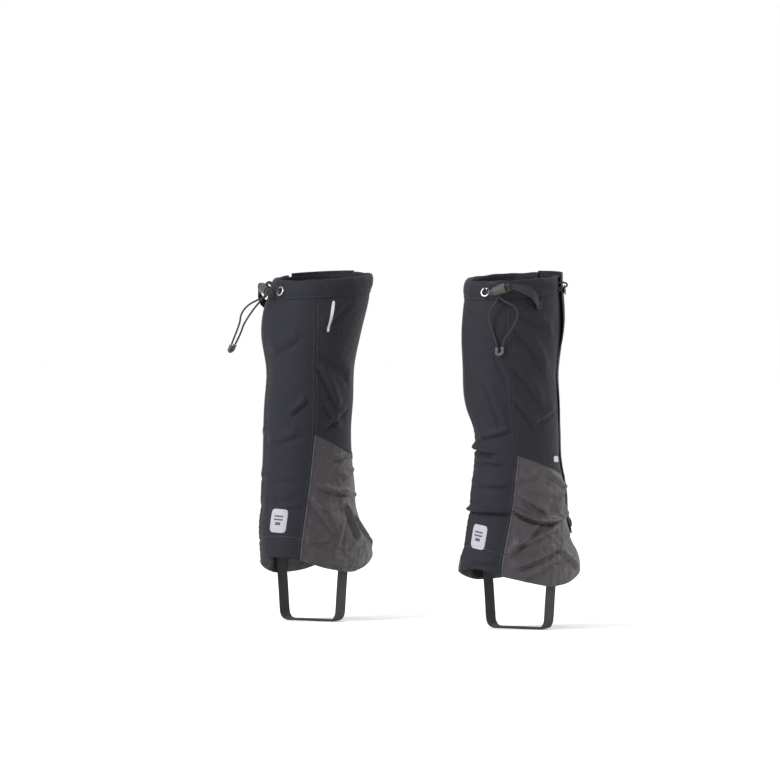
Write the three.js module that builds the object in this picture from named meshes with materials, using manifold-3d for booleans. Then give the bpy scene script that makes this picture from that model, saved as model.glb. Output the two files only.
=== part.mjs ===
// A pair of knee-height hiking gaiters, in millimetres.
// +Z is up, -Y points to the toes and +X to the left leg's outer side.
// z = 0 is the underside of the instep straps, and the legs' centre lines stand at x = +-legSpacing / 2.
// One gaiter is drawn for the left leg, where +x is the outer side, and mirrored for the right leg.
// An angle round the leg is 0 at the calf, 90 at the outer side, 180 at the shin and -90 at the inner side.

import * as THREE from 'three';
import { mergeVertices } from 'three/addons/utils/BufferGeometryUtils.js';
import Module from 'manifold-3d';

const wasm = await Module();
wasm.setup();

// Driving dimensions
const legSpacing = 300;
const gap = 0.3; // left between pieces that touch
const topHeight = 418; // top edge at the shin
const topDip = 10; // the calf side is this much lower
const ankleHeight = 140;
const hemSide = 52; // bottom edge under the ankle bones, above the strap's underside
const hemRearRise = 19;
const hemFrontRise = 32;
const shellWall = 1.2;
const rearSeam = 35; // half angle of the rear panel
const kneeSeamRear = 214; // join of upper and lower side panels, at the rear and at the shin
const kneeSeamFront = 176;
const shinEdge = 182.6; // where the outer panels end, past the shin
const angleStep = 15; // facets round the leg

const hemDepth = 22; // the drawcord tunnel at the top
const hemWall = 1.2;
const hemInnerFace = 3;
const hemEnd = 100;

const cordDiameter = 2.2;
const cordDepth = 8; // below the top edge
const cordOffset = cordDiameter / 2 + 0.6;
const hemOuterFace = cordOffset + cordDiameter / 2 + 0.6 + hemWall;
const eyeletAngle = 7;
const eyeletDrop = 14;
const eyeletBore = 1.5 * cordDiameter + 0.1; // both runs of the cord leave through it
const eyeletTube = 0.5;
const eyeletFlange = eyeletBore + 2.3;
const eyeletThickness = 0.8;

const lockAngle = 23.5;
const lockHeight = topHeight - 20.5;
const lockStandOff = 13;
const lockTilt = 17;
const barrelRadius = 6;
const barrelBore = 4.1;
const barrelMouth = -7;
const barrelFloor = 6;
const barrelEnd = 8;
const slotCentre = -2.15; // the cords' way across the barrel, two cords side by side
const cordPitch = cordDiameter + gap;
const slotFrom = slotCentre - cordPitch / 2 - cordDiameter / 2 - 0.4;
const slotTo = slotCentre + cordPitch / 2 + cordDiameter / 2 + 0.4;
const slotHalf = cordDiameter / 2 + 0.6;
const plungerClearance = 0.3;
const plungerTravel = 2.6;
const plungerEnd = 0.8;
const plungerSlotShift = 1.5;
const buttonRadius = 5.2;
const buttonThickness = 1.2;
const springWire = 0.6;
const springTurns = 3;
const bailHalf = 4.2;
const bailThickness = 2.4;
const bailBar = 2.4;
const bailSlot = 2.8;
const loopWall = 1.2; // the tether's sewn loop round the bail

const tetherWidth = 10;
const tetherThickness = 1.6;
const tetherEndAngle = 70;
const tetherEndHeight = topHeight - 38;
const clipRadius = 2.2;
const clipLegs = 6.5;

const flapEdgeTop = 108; // free edge of the front flap, at its top and its bottom
const flapEdgeBottom = 138;
const flapHinge = 180;
const flapWall = 1.5;
const flapLow = 111;
const flapRise = 2;
const stripFrom = 142; // hook and loop strips
const stripTo = 162;
const stripLow = 136;
const stripThickness = 0.8;
const stripGap = 0.45; // between shell, loop strip, hook strip and flap
const snaps = [
  { name: 'top', angle: 119, height: topHeight - 21 },
  { name: 'bottom', angle: 152, height: 122 },
];
const snapRadius = 6;
const snapNeck = 3.6;
const studRadius = 2;
const snapClearance = 0.6;

const strapWidth = 20;
const strapThickness = 2;
const strapY = -8;
const strapTop = 80;
const strapPivot = 62;
const strapSoleHalf = 42;
const strapCorner = 8;
const anchorFrom = 86;
const anchorTo = 102;
const anchorHeight = 32;
const anchorThickness = 1.2;

const elasticWidth = 12;
const elasticThickness = 1.2;
const labelHalf = 15; // half angle
const labelLow = 100;
const labelHeight = 30;
const labelThickness = 0.8;

const tabWidth = 8;
const tabThickness = 1.4;
const hookBar = 2; // height of the hook's cross bar
const hookPlate = 1.2;
const hookArm = 1.8;
const hookLength = 15;
const hookCurl = 3;

// Leg sections: reach to the rear, the front and each side of a centre that leans inwards and rearwards
const legLevel = (part) => ankleHeight + part * (topHeight + flapRise - ankleHeight);
const sections = [
  { z: 46, rear: 76, front: 107, side: 50, inward: 0, back: 0 },
  { z: 86, rear: 76, front: 101, side: 50, inward: 0, back: 0 },
  { z: 114, rear: 73, front: 80, side: 50.4, inward: 0, back: 0 },
  { z: legLevel(0.05), rear: 66, front: 67, side: 50, inward: 0, back: 1 },
  { z: legLevel(0.18), rear: 60, front: 60, side: 48.2, inward: 0, back: 3.5 },
  { z: legLevel(0.32), rear: 56.5, front: 56.5, side: 48.2, inward: 0.5, back: 6 },
  { z: legLevel(0.46), rear: 58, front: 58, side: 52, inward: 2.5, back: 7 },
  { z: legLevel(0.59), rear: 58.7, front: 58.7, side: 52.6, inward: 5, back: 6.5 },
  { z: legLevel(0.73), rear: 63, front: 63, side: 57, inward: 7.5, back: 3 },
  { z: legLevel(0.87), rear: 64, front: 64, side: 59.2, inward: 9.5, back: -4 },
  { z: legLevel(1), rear: 61.5, front: 61.5, side: 57, inward: 11, back: -10 },
];
const rowHeights = sections.map(({ z }) => z);

// Free strands below the cord lock, from its lower slot: forward along the shell, up, and out from it
const strandRoutes = {
  left: {
    a: [[0, 0, 0], [0, -2.4, 0.4], [3, -6, 9], [10, -13, 19], [15, -23, 25], [17, -35, 27], [22, -60, 35]],
    b: [[0, 0, 0], [0.3, -2.4, 0.3], [3.5, -9, 5], [9, -20, 12], [14.5, -35, 20], [17, -47, 24], [20, -60, 29.5]],
  },
  right: {
    a: [[0, 0, 0], [0, -3.6, 0], [-3, -9, 0.6], [-7.4, -15, 1.2], [-9.2, -25, 1.4], [-6.6, -39, 1.2],
      [-1.6, -53, 1], [-0.4, -60, 1]],
    b: [[0, 0, 0], [0.3, -3, 0], [7, -7.6, 1.2], [18.6, -14, 2.4], [21.5, -24, 2.6], [15.5, -38, 2],
      [5.4, -53, 1.4], [3.6, -60, 1]],
  },
};

// The drawcord between the eyelet and the lock, in the lock's own axes: out, up and forward
const leadRoutes = {
  a: [[-7.2, 5.6, -17.4], [-4.6, 10, -12.8], [-2, 11.3, -8.2], [0, 10.6, -4.6], [0, 7.6, -3.25], [0, 4.9, -3.25]],
  b: [[-6, 3.2, -15], [-4.6, 6.8, -10.4], [-3.6, 8, -6], [-1.7, 9, -1.6], [0, 8, -0.9], [0, 6.4, -0.9], [0, 4.9, -0.9]],
};

const degrees = THREE.MathUtils.degToRad;
const clamp = THREE.MathUtils.clamp;
const lerp = THREE.MathUtils.lerp;
const vector = (...numbers) => new THREE.Vector3(...numbers);

// Edges of the shell, as heights at an angle round the leg
const topEdge = (angle) => topHeight - topDip * (1 + Math.cos(degrees(angle))) / 2;
const panelTop = (angle) => topEdge(angle) - hemWall - gap;
const kneeSeam = (angle) => {
  const share = clamp((Math.abs(angle) - rearSeam) / (180 - rearSeam), 0, 1);
  return lerp(kneeSeamRear, kneeSeamFront, share * share * (3 - 2 * share));
};
const hemEdge = (angle) => {
  const c = Math.cos(degrees(angle));
  return hemSide + hemRearRise * Math.max(c, 0) ** 1.25 + hemFrontRise * Math.max(-c, 0) ** 3.4;
};

// A section between two listed ones, by a cubic through its neighbours
function sectionAt(z) {
  const last = sections.length - 2;
  const found = sections.findIndex((section) => section.z > z) - 1;
  const i = clamp(found < 0 ? (z < sections[0].z ? 0 : last) : found, 0, last);
  const [p, q, r, s] = [sections[Math.max(i - 1, 0)], sections[i], sections[i + 1], sections[Math.min(i + 2, last + 1)]];
  const t = (z - q.z) / (r.z - q.z);
  const result = {};
  for (const key of ['rear', 'front', 'side', 'inward', 'back']) {
    const startSlope = (r[key] - p[key]) / (r.z - p.z) * (r.z - q.z);
    const endSlope = (s[key] - q[key]) / (s.z - q.z) * (r.z - q.z);
    const rise = r[key] - q[key];
    result[key] = q[key] + t * (startSlope + t * (3 * rise - 2 * startSlope - endSlope
      + t * (startSlope + endSlope - 2 * rise)));
  }
  return result;
}

// A corner of the faceted shell, moved outwards by an offset
function shellCorner(angle, z, offset) {
  const { rear, front, side, inward, back } = sectionAt(z);
  const c = Math.cos(degrees(angle));
  const reach = (c > 0 ? rear : front) + offset;
  return vector((side + offset) * Math.sin(degrees(angle)) - inward, reach * c + back, z);
}

// A point on the faceted shell, between the four corners of its facet
function shellPoint(angle, z, offset) {
  const column = Math.floor(angle / angleStep) * angleStep;
  const row = clamp(rowHeights.findIndex((height) => height > z), 1, rowHeights.length - 1);
  const [low, high] = [rowHeights[row - 1], rowHeights[row]];
  const across = (angle - column) / angleStep;
  const up = z > high || z < low ? 0 : (z - low) / (high - low);
  const level = (height) => shellCorner(column, height, offset)
    .lerp(shellCorner(column + angleStep, height, offset), across);
  const point = up === 0 && (z > high || z < low) ? level(z) : level(low).lerp(level(high), up);
  point.z = z;
  return point;
}

// Axes at a place on the shell: x up, y forward round the leg, z outwards
function shellAxes(angle, z, offset) {
  const centre = shellPoint(angle, z, offset);
  const along = shellCorner(angle + 1, z, 0).sub(shellCorner(angle - 1, z, 0)).normalize();
  const rise = shellCorner(angle, z + 1, 0).sub(shellCorner(angle, z - 1, 0)).normalize();
  const out = rise.clone().cross(along).normalize();
  const up = along.clone().cross(out);
  return new THREE.Matrix4().makeBasis(up, along, out).setPosition(centre);
}

// A closed body from a geometry: shared corners joined, empty triangles dropped
function closed(geometry) {
  for (const name of ['normal', 'uv']) geometry.deleteAttribute(name);
  const merged = mergeVertices(geometry, 1e-4);
  const index = merged.index.array;
  const kept = [];
  for (let i = 0; i < index.length; i += 3) {
    const [a, b, c] = index.slice(i, i + 3);
    if (a !== b && b !== c && c !== a) kept.push(a, b, c);
  }
  merged.setIndex(kept);
  merged.clearGroups();
  return merged;
}

const asManifold = (geometry) => {
  const body = closed(geometry);
  return new wasm.Manifold(new wasm.Mesh({
    numProp: 3,
    vertProperties: new Float32Array(body.attributes.position.array),
    triVerts: new Uint32Array(body.index.array),
  }));
};
const asGeometry = (manifold) => {
  const mesh = manifold.getMesh();
  const geometry = new THREE.BufferGeometry();
  geometry.setAttribute('position', new THREE.BufferAttribute(new Float32Array(mesh.vertProperties), 3));
  geometry.setIndex([...mesh.triVerts]);
  return geometry;
};
const cut = (body, ...tools) => asGeometry(tools.reduce((left, tool) => left.subtract(asManifold(tool)), asManifold(body)));
const join = (body, ...others) => asGeometry(others.reduce((sum, other) => sum.add(asManifold(other)), asManifold(body)));

// Values from one to another, with every multiple of the step, or every listed stop, between them
const angleStops = (from, to) => {
  const stops = [from];
  for (let angle = Math.ceil((from + 0.5) / angleStep) * angleStep; angle < to - 0.5; angle += angleStep) stops.push(angle);
  return [...stops, to];
};
const heightStops = (from, to) => [from, ...rowHeights.filter((z) => z > from + 0.5 && z < to - 0.5), to];

// A layer of cloth on the shell: a box whose width goes round the leg, its height up it and its depth outwards
function layer({ from, to, low, high, inner, outer, edge = () => -Infinity }) {
  const columns = angleStops(from, to);
  const heights = heightStops(Math.min(...columns.map(low)), Math.max(...columns.map(high)));
  const [across, up] = [columns.length - 1, heights.length - 1];
  const geometry = new THREE.BoxGeometry(1, 1, 1, across, up, 1);
  const position = geometry.attributes.position;
  for (let i = 0; i < position.count; i += 1) {
    const column = columns[Math.round((0.5 - position.getX(i)) * across)];
    const z = clamp(heights[Math.round((0.5 + position.getY(i)) * up)], low(column), high(column));
    const angle = Math.max(column, edge(z));
    const offset = position.getZ(i) > 0 ? outer(angle) : inner(angle);
    position.setXYZ(i, ...shellPoint(angle, z, offset));
  }
  return closed(geometry);
}

// A tube along a smooth curve through points
function tube(points, radius, sides, steps) {
  const rim = Array.from({ length: sides }, (_, i) => (i + 0.5) * 2 * Math.PI / sides);
  const section = new THREE.Shape(rim.map((turn) => new THREE.Vector2(radius * Math.cos(turn), radius * Math.sin(turn))));
  const path = new THREE.CatmullRomCurve3(points, false, 'centripetal');
  const count = steps ?? clamp(Math.round(path.getLength() / (3 * cordDiameter)), 6, 80);
  return closed(new THREE.ExtrudeGeometry(section, { extrudePath: path, steps: count, bevelEnabled: false }));
}

// A turned piece with its axis on z, from [radius, height] pairs taken either way round
function turned(profile, sides) {
  const points = profile.map(([radius, height]) => new THREE.Vector2(radius, height));
  if (THREE.ShapeUtils.area(points) < 0) points.reverse();
  return closed(new THREE.LatheGeometry(points, sides).rotateX(Math.PI / 2));
}

const block = (low, high) => new THREE.BoxGeometry(high[0] - low[0], high[1] - low[1], high[2] - low[2])
  .translate((low[0] + high[0]) / 2, (low[1] + high[1]) / 2, (low[2] + high[2]) / 2);

const outline = (points) => new THREE.Shape(points.map(([x, y]) => new THREE.Vector2(x, y)));

// Finishes
const finish = (color, roughness, metalness = 0) => new THREE.MeshStandardMaterial({ color, roughness, metalness });
const finishes = {
  navyCloth: () => finish(0x383a42, 0.9),
  blackCloth: () => finish(0x2a292f, 0.9),
  ripstop: () => finish(0x4c4a4d, 0.85),
  webbing: () => finish(0x28282c, 0.95),
  cord: () => finish(0x3c3c3e, 0.9),
  plastic: () => finish(0x3a3a36, 0.5),
  clip: () => finish(0x5a5a5c, 0.55),
  steel: () => finish(0xb8b8b8, 0.35, 1),
  label: () => finish(0xe2e2ec, 0.6),
};

function part(group, name, geometry, look) {
  const mesh = new THREE.Mesh(geometry, finishes[look]());
  mesh.name = name;
  group.add(mesh);
  return mesh;
}

// The shell's five panels, side by side
function addPanels(group, side) {
  const half = gap / 2;
  const seamGap = THREE.MathUtils.radToDeg(gap / sections[0].side);
  const wall = { inner: () => -shellWall, outer: () => 0 };
  const above = (angle) => kneeSeam(angle) + half;
  const below = (angle) => kneeSeam(angle) - half;
  const innerEdge = shinEdge - 360 + seamGap;
  const outerSide = { from: rearSeam + seamGap, to: shinEdge };
  const innerSide = { from: innerEdge, to: -rearSeam - seamGap };
  part(group, `${side}_rear_panel`,
    layer({ from: -rearSeam, to: rearSeam, low: hemEdge, high: panelTop, ...wall }), 'navyCloth');
  part(group, `${side}_outer_upper_panel`, layer({ ...outerSide, low: above, high: panelTop, ...wall }), 'blackCloth');
  part(group, `${side}_inner_upper_panel`, layer({ ...innerSide, low: above, high: panelTop, ...wall }), 'blackCloth');
  part(group, `${side}_outer_lower_panel`, layer({ ...outerSide, low: hemEdge, high: below, ...wall }), 'ripstop');
  part(group, `${side}_inner_lower_panel`, layer({ ...innerSide, low: hemEdge, high: below, ...wall }), 'ripstop');
}

// The folded drawcord tunnel: a hook-shaped section carried round the top edge, open for the shell below
function addTopHem(group, side) {
  const section = outline([
    [-hemInnerFace, -hemDepth], [-hemInnerFace + hemWall, -hemDepth],
    [-hemInnerFace + hemWall, -hemWall], [hemOuterFace - hemWall, -hemWall],
    [hemOuterFace - hemWall, hemWall - hemDepth], [gap, hemWall - hemDepth], [gap, -hemDepth],
    [hemOuterFace, -hemDepth], [hemOuterFace, 0], [-hemInnerFace, 0],
  ]);
  const columns = angleStops(shinEdge - 360 + 1, hemEnd);
  const steps = columns.length - 1;
  const geometry = new THREE.ExtrudeGeometry(section, { depth: 1, steps, bevelEnabled: false });
  const position = geometry.attributes.position;
  for (let i = 0; i < position.count; i += 1) {
    const angle = columns[Math.round(position.getZ(i) * steps)];
    position.setXYZ(i, ...shellPoint(angle, topEdge(angle) + position.getY(i), position.getX(i)));
  }
  const axes = shellAxes(eyeletAngle, topEdge(eyeletAngle) - eyeletDrop, 0);
  const reach = eyeletBore + eyeletTube + gap;
  const hole = turned([[0, hemWall], [reach, hemWall], [reach, 2 * hemOuterFace], [0, 2 * hemOuterFace]], 16)
    .applyMatrix4(axes);
  part(group, `${side}_top_hem`, cut(geometry, hole), 'webbing');

  const seat = hemOuterFace + gap;
  const eyelet = turned([
    [eyeletBore, hemOuterFace - hemWall + 0.1], [eyeletBore + eyeletTube, hemOuterFace - hemWall + 0.1],
    [eyeletBore + eyeletTube, seat], [eyeletFlange, seat],
    [eyeletFlange - 0.4, seat + eyeletThickness], [eyeletBore, seat + eyeletThickness],
    [eyeletBore, hemOuterFace - hemWall + 0.1],
  ], 20);
  part(group, `${side}_drawcord_eyelet`, eyelet.applyMatrix4(axes), 'steel');
}

// Axes of the cord lock: x out, y up, z forward along the barrel; and the same place without the tilt
function lockAxes(tilt) {
  const place = shellAxes(lockAngle, lockHeight, lockStandOff);
  const forward = vector().setFromMatrixColumn(place, 1).setZ(0).normalize();
  const up = vector(0, 0, 1);
  const out = up.clone().cross(forward).normalize();
  const centre = vector().setFromMatrixPosition(place);
  return new THREE.Matrix4().makeBasis(out, up, forward).setPosition(centre)
    .multiply(new THREE.Matrix4().makeRotationX(-degrees(tilt)));
}

// The drawcord: both runs lie in the tunnel and leave through the eyelet to the lock
function addDrawcord(group, side) {
  const axes = lockAxes(lockTilt);
  const inTunnel = (angle, drop = cordDepth) => shellPoint(angle, topEdge(angle) - drop, cordOffset);
  const eyeletHeight = topEdge(eyeletAngle) - eyeletDrop;
  const half = cordDiameter / 2 + 0.05;
  const spread = THREE.MathUtils.radToDeg(half / (sections[0].side + hemOuterFace));
  const mouth = (turn) => [cordOffset + 0.4, hemOuterFace + 1.5].map((off) => shellPoint(eyeletAngle + turn, eyeletHeight, off));
  const leads = (key) => leadRoutes[key].map((point) => vector(...point).applyMatrix4(axes));
  const sweep = (from, to) => angleStops(from, to).map((angle) => inTunnel(angle));

  const inner = [...sweep(shinEdge - 360 + 3, -6), inTunnel(0, (cordDepth + eyeletDrop) / 2),
    ...mouth(-spread), ...leads('a')];
  part(group, `${side}_drawcord_inner_run`, tube(inner, cordDiameter / 2, 8), 'cord');

  const loop = [[hemEnd + 1.6, 8, 2.3], [hemEnd + 3.6, 7.6, 7], [hemEnd + 3.8, 9, 12], [hemEnd + 3.2, 12, 12.6],
    [hemEnd + 3, 13.6, 8], [hemEnd + 1.8, 14, 2.6], [hemEnd - 0.5, 14, cordOffset]]
    .map(([angle, drop, off]) => shellPoint(angle, topEdge(angle) - drop, off));
  const outer = [...leads('b').reverse(), ...mouth(spread).reverse(), inTunnel(14, (cordDepth + eyeletDrop) / 2),
    ...sweep(20, hemEnd - 0.5), ...loop, inTunnel(hemEnd - 4, 14), inTunnel(hemEnd - 12, 14)];
  part(group, `${side}_drawcord_outer_run`, tube(outer, cordDiameter / 2, 8), 'cord');
}

// Spring cord lock: barrel with a bail for its tether, plunger and spring
function addCordLock(group, side) {
  const axes = lockAxes(lockTilt);
  const barrel = turned([
    [0, barrelEnd], [barrelRadius - 0.8, barrelEnd], [barrelRadius, barrelEnd - 0.8],
    [barrelRadius, barrelMouth + 0.8], [barrelRadius - 0.8, barrelMouth], [barrelBore, barrelMouth],
    [barrelBore, barrelFloor], [0, barrelFloor],
  ], 16);
  const slotLow = barrelEnd + 0.4;
  const barLow = slotLow + bailSlot;
  const thick = bailThickness / 2;
  const bail = cut(
    block([-thick, -bailHalf, barrelEnd - 0.6], [thick, bailHalf, barLow + bailBar]),
    block([-2 * thick, gap - bailHalf + 1, slotLow], [2 * thick, bailHalf - 1 - gap, barLow]),
  );
  const crossing = block([-slotHalf, -2 * barrelRadius, slotFrom], [slotHalf, 2 * barrelRadius, slotTo]);
  part(group, `${side}_cord_lock_barrel`, cut(join(barrel, bail), crossing).applyMatrix4(axes), 'plastic');

  const stem = barrelBore - plungerClearance;
  const buttonTop = barrelMouth - plungerTravel - gap;
  const plunger = turned([
    [0, buttonTop - buttonThickness], [buttonRadius - 0.5, buttonTop - buttonThickness],
    [buttonRadius, buttonTop - buttonThickness + 0.5], [buttonRadius, buttonTop], [stem, buttonTop],
    [stem, plungerEnd], [0, plungerEnd],
  ], 16);
  const own = block([-slotHalf, -2 * barrelRadius, slotFrom - plungerSlotShift],
    [slotHalf, 2 * barrelRadius, slotTo - plungerSlotShift]);
  part(group, `${side}_cord_lock_plunger`, cut(plunger, own).applyMatrix4(axes), 'plastic');

  const coil = stem - springWire;
  const springLow = plungerEnd + gap + springWire / 2;
  const springHigh = barrelFloor - gap - springWire / 2;
  const count = springTurns * 8;
  const points = Array.from({ length: count + 1 }, (_, i) => {
    const turn = 2 * Math.PI * i / 8;
    return vector(coil * Math.cos(turn), coil * Math.sin(turn), lerp(springLow, springHigh, i / count));
  });
  part(group, `${side}_cord_lock_spring`, tube(points, springWire / 2, 6, count).applyMatrix4(axes), 'steel');
  return barLow + bailBar / 2;
}

// Webbing tether: a narrow loop round the bail that widens into a strip sewn to the shell
function addTether(group, side, loopCentre) {
  const axes = lockAxes(lockTilt);
  const inner = bailThickness / 2 + 0.8;
  const loopHalf = bailHalf - 1 - 2 * gap - 0.1;
  const rim = new THREE.Shape().absarc(0, 0, inner + loopWall, 0, 2 * Math.PI);
  rim.holes.push(new THREE.Path().absarc(0, 0, inner, 0, 2 * Math.PI));
  const loop = new THREE.ExtrudeGeometry(rim, { depth: 2 * loopHalf, bevelEnabled: false, curveSegments: 8 })
    .translate(0, 0, -loopHalf).rotateX(Math.PI / 2).translate(0, 0, loopCentre).applyMatrix4(axes);
  const start = vector(0, 0, loopCentre + inner + loopWall / 2).applyMatrix4(axes);
  const seat = 2 * gap + tetherThickness / 2;
  const end = shellPoint(tetherEndAngle, tetherEndHeight, seat);
  const lift = (angle, height, off) => shellPoint(angle, height, off);
  const path = new THREE.CatmullRomCurve3([
    start, lift(45, topHeight - 19, 16), lift(54, topHeight - 24, 14.5), lift(61, topHeight - 32, 8.5),
    lift(66.5, tetherEndHeight, seat + 0.9), end,
  ], false, 'centripetal');
  const steps = 12;
  const geometry = new THREE.BoxGeometry(1, 1, 1, steps, 2, 1);
  const position = geometry.attributes.position;
  for (let i = 0; i < position.count; i += 1) {
    const share = position.getX(i) + 0.5;
    const point = path.getPointAt(share);
    const along = path.getTangentAt(share);
    const across = vector(0, 0, 1).addScaledVector(along, -along.z).normalize();
    const out = along.clone().cross(across);
    const width = lerp(2 * loopHalf, tetherWidth, clamp(share * 4, 0, 1));
    point.addScaledVector(across, position.getY(i) * width).addScaledVector(out, position.getZ(i) * tetherThickness);
    position.setXYZ(i, ...point);
  }
  part(group, `${side}_tether_tab`, join(geometry, loop), 'webbing');
}

// The free strands and the clip that holds their ends
function addCordPull(group, side) {
  const tilted = lockAxes(lockTilt);
  const level = lockAxes(0);
  const forward = vector().setFromMatrixColumn(level, 2);
  const out = vector().setFromMatrixColumn(level, 0);
  const low = gap + 0.1 - barrelRadius;
  const starts = { a: [0, low, slotCentre - cordPitch / 2], b: [0, low, slotCentre + cordPitch / 2] };
  const ends = {};
  for (const [key, route] of Object.entries(strandRoutes[side])) {
    const start = vector(...starts[key]).applyMatrix4(tilted);
    const points = route.map(([ahead, up, off]) => start.clone().addScaledVector(forward, ahead)
      .addScaledVector(out, off).add(vector(0, 0, up)));
    part(group, `${side}_cord_end_${key}`, tube(points, cordDiameter / 2, 8), 'cord');
    const curve = new THREE.CatmullRomCurve3(points, false, 'centripetal');
    ends[key] = { point: curve.getPoint(1), down: curve.getTangent(1) };
  }
  const down = ends.a.down.clone().add(ends.b.down).normalize();
  const middle = ends.a.point.clone().add(ends.b.point).multiplyScalar(0.5);
  const leg = (key, depth) => ends[key].point.clone().addScaledVector(ends[key].down, gap).addScaledVector(down, depth);
  const bend = middle.addScaledVector(down, clipLegs + clipRadius + gap);
  const clip = tube([leg('a', 0), leg('a', clipLegs / 2), leg('a', clipLegs), bend,
    leg('b', clipLegs), leg('b', clipLegs / 2), leg('b', 0)], clipRadius, 10, 16);
  part(group, `${side}_cord_clip`, clip, 'clip');
}

// The front flap with its hook strip and snap caps, and what they close on
function addFrontClosure(group, side) {
  const flapClear = 3 * stripGap + 2 * stripThickness;
  const inner = (angle) => lerp(gap, flapClear, clamp((flapHinge - angle) / 14, 0, 1));
  const high = (angle) => topEdge(angle) + flapRise;
  const edge = (z) => lerp(flapEdgeBottom, flapEdgeTop, clamp((z - flapLow) / (topHeight - flapLow), 0, 1) ** 0.7);
  const flap = layer({
    from: flapEdgeTop, to: flapHinge, low: () => flapLow, high, edge,
    inner, outer: (angle) => inner(angle) + flapWall,
  });
  const holes = [];
  for (const { name, angle, height } of snaps) {
    const axes = shellAxes(angle, height, 0);
    const face = flapClear + flapWall + gap;
    const hole = snapNeck + gap;
    holes.push(turned([[0, gap], [hole, gap], [hole, face + 2], [0, face + 2]], 14).applyMatrix4(axes));
    const socket = studRadius + snapClearance;
    const cap = turned([
      [0, face + 1.3], [snapRadius - 1.5, face + 1.3], [snapRadius, face + 0.7], [snapRadius, face + 0.1],
      [snapNeck, face + 0.1], [snapNeck, 1.6], [socket, 1.6], [socket, face], [0, face],
    ], 14);
    const stud = turned([
      [0, gap + 0.1], [snapRadius - 1, gap + 0.1], [snapRadius - 1, 0.8], [studRadius, 1.1], [studRadius, 2.3],
      [studRadius - 0.6, 2.6], [0, 2.6],
    ], 14);
    part(group, `${side}_${name}_snap_cap`, cap.applyMatrix4(axes), 'plastic');
    part(group, `${side}_${name}_snap_stud`, stud.applyMatrix4(axes), 'steel');
  }
  part(group, `${side}_front_flap`, cut(flap, ...holes), 'blackCloth');
  const strip = (low) => layer({
    from: stripFrom, to: stripTo, low: () => stripLow, high: (angle) => panelTop(angle) - hemWall,
    inner: () => low, outer: () => low + stripThickness,
  });
  part(group, `${side}_loop_strip`, strip(stripGap), 'webbing');
  part(group, `${side}_hook_strip`, strip(2 * stripGap + stripThickness), 'webbing');
}

// The strap under the boot and the two patches inside the hem that carry it
function addInstepStrap(group, side) {
  const outerOffset = -shellWall - gap;
  const anchor = (from, to) => layer({
    from, to, low: () => strapPivot - 4, high: () => strapPivot - 4 + anchorHeight,
    inner: () => outerOffset - anchorThickness, outer: () => outerOffset,
  });
  part(group, `${side}_outer_strap_anchor`, anchor(anchorFrom, anchorTo), 'webbing');
  part(group, `${side}_inner_strap_anchor`, anchor(-anchorTo, -anchorFrom), 'webbing');
  const topHalf = shellPoint(anchorTo, strapPivot, outerOffset - anchorThickness).x - gap;
  const bend = strapCorner * 0.45;
  const run = (inset) => [
    [topHalf - inset, strapTop], [topHalf - inset, strapPivot], [strapSoleHalf - inset, strapCorner + inset * 0.4],
    [strapSoleHalf - inset - (strapCorner - bend) * 0.5, bend * 0.6 + inset * 0.9], [strapSoleHalf - strapCorner, inset],
  ];
  const half = (inset) => [...run(inset), ...run(inset).reverse().map(([x, z]) => [-x, z])];
  const shape = outline([...half(0), ...half(strapThickness).reverse()]);
  const strap = new THREE.ExtrudeGeometry(shape, { depth: strapWidth, bevelEnabled: false })
    .rotateX(Math.PI / 2).translate(0, strapY + strapWidth / 2, 0);
  part(group, `${side}_instep_strap`, closed(strap), 'webbing');
}

// Elastic inside the ankle and the label on the heel
function addTrim(group, side) {
  const inside = -shellWall - gap;
  part(group, `${side}_ankle_elastic`, layer({
    from: -90, to: 90, low: () => ankleHeight - elasticWidth / 2, high: () => ankleHeight + elasticWidth / 2,
    inner: () => inside - elasticThickness, outer: () => inside,
  }), 'webbing');
  part(group, `${side}_heel_label`, layer({
    from: -labelHalf, to: labelHalf, low: () => labelLow, high: () => labelLow + labelHeight,
    inner: () => gap, outer: () => gap + labelThickness,
  }), 'label');
}

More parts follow.
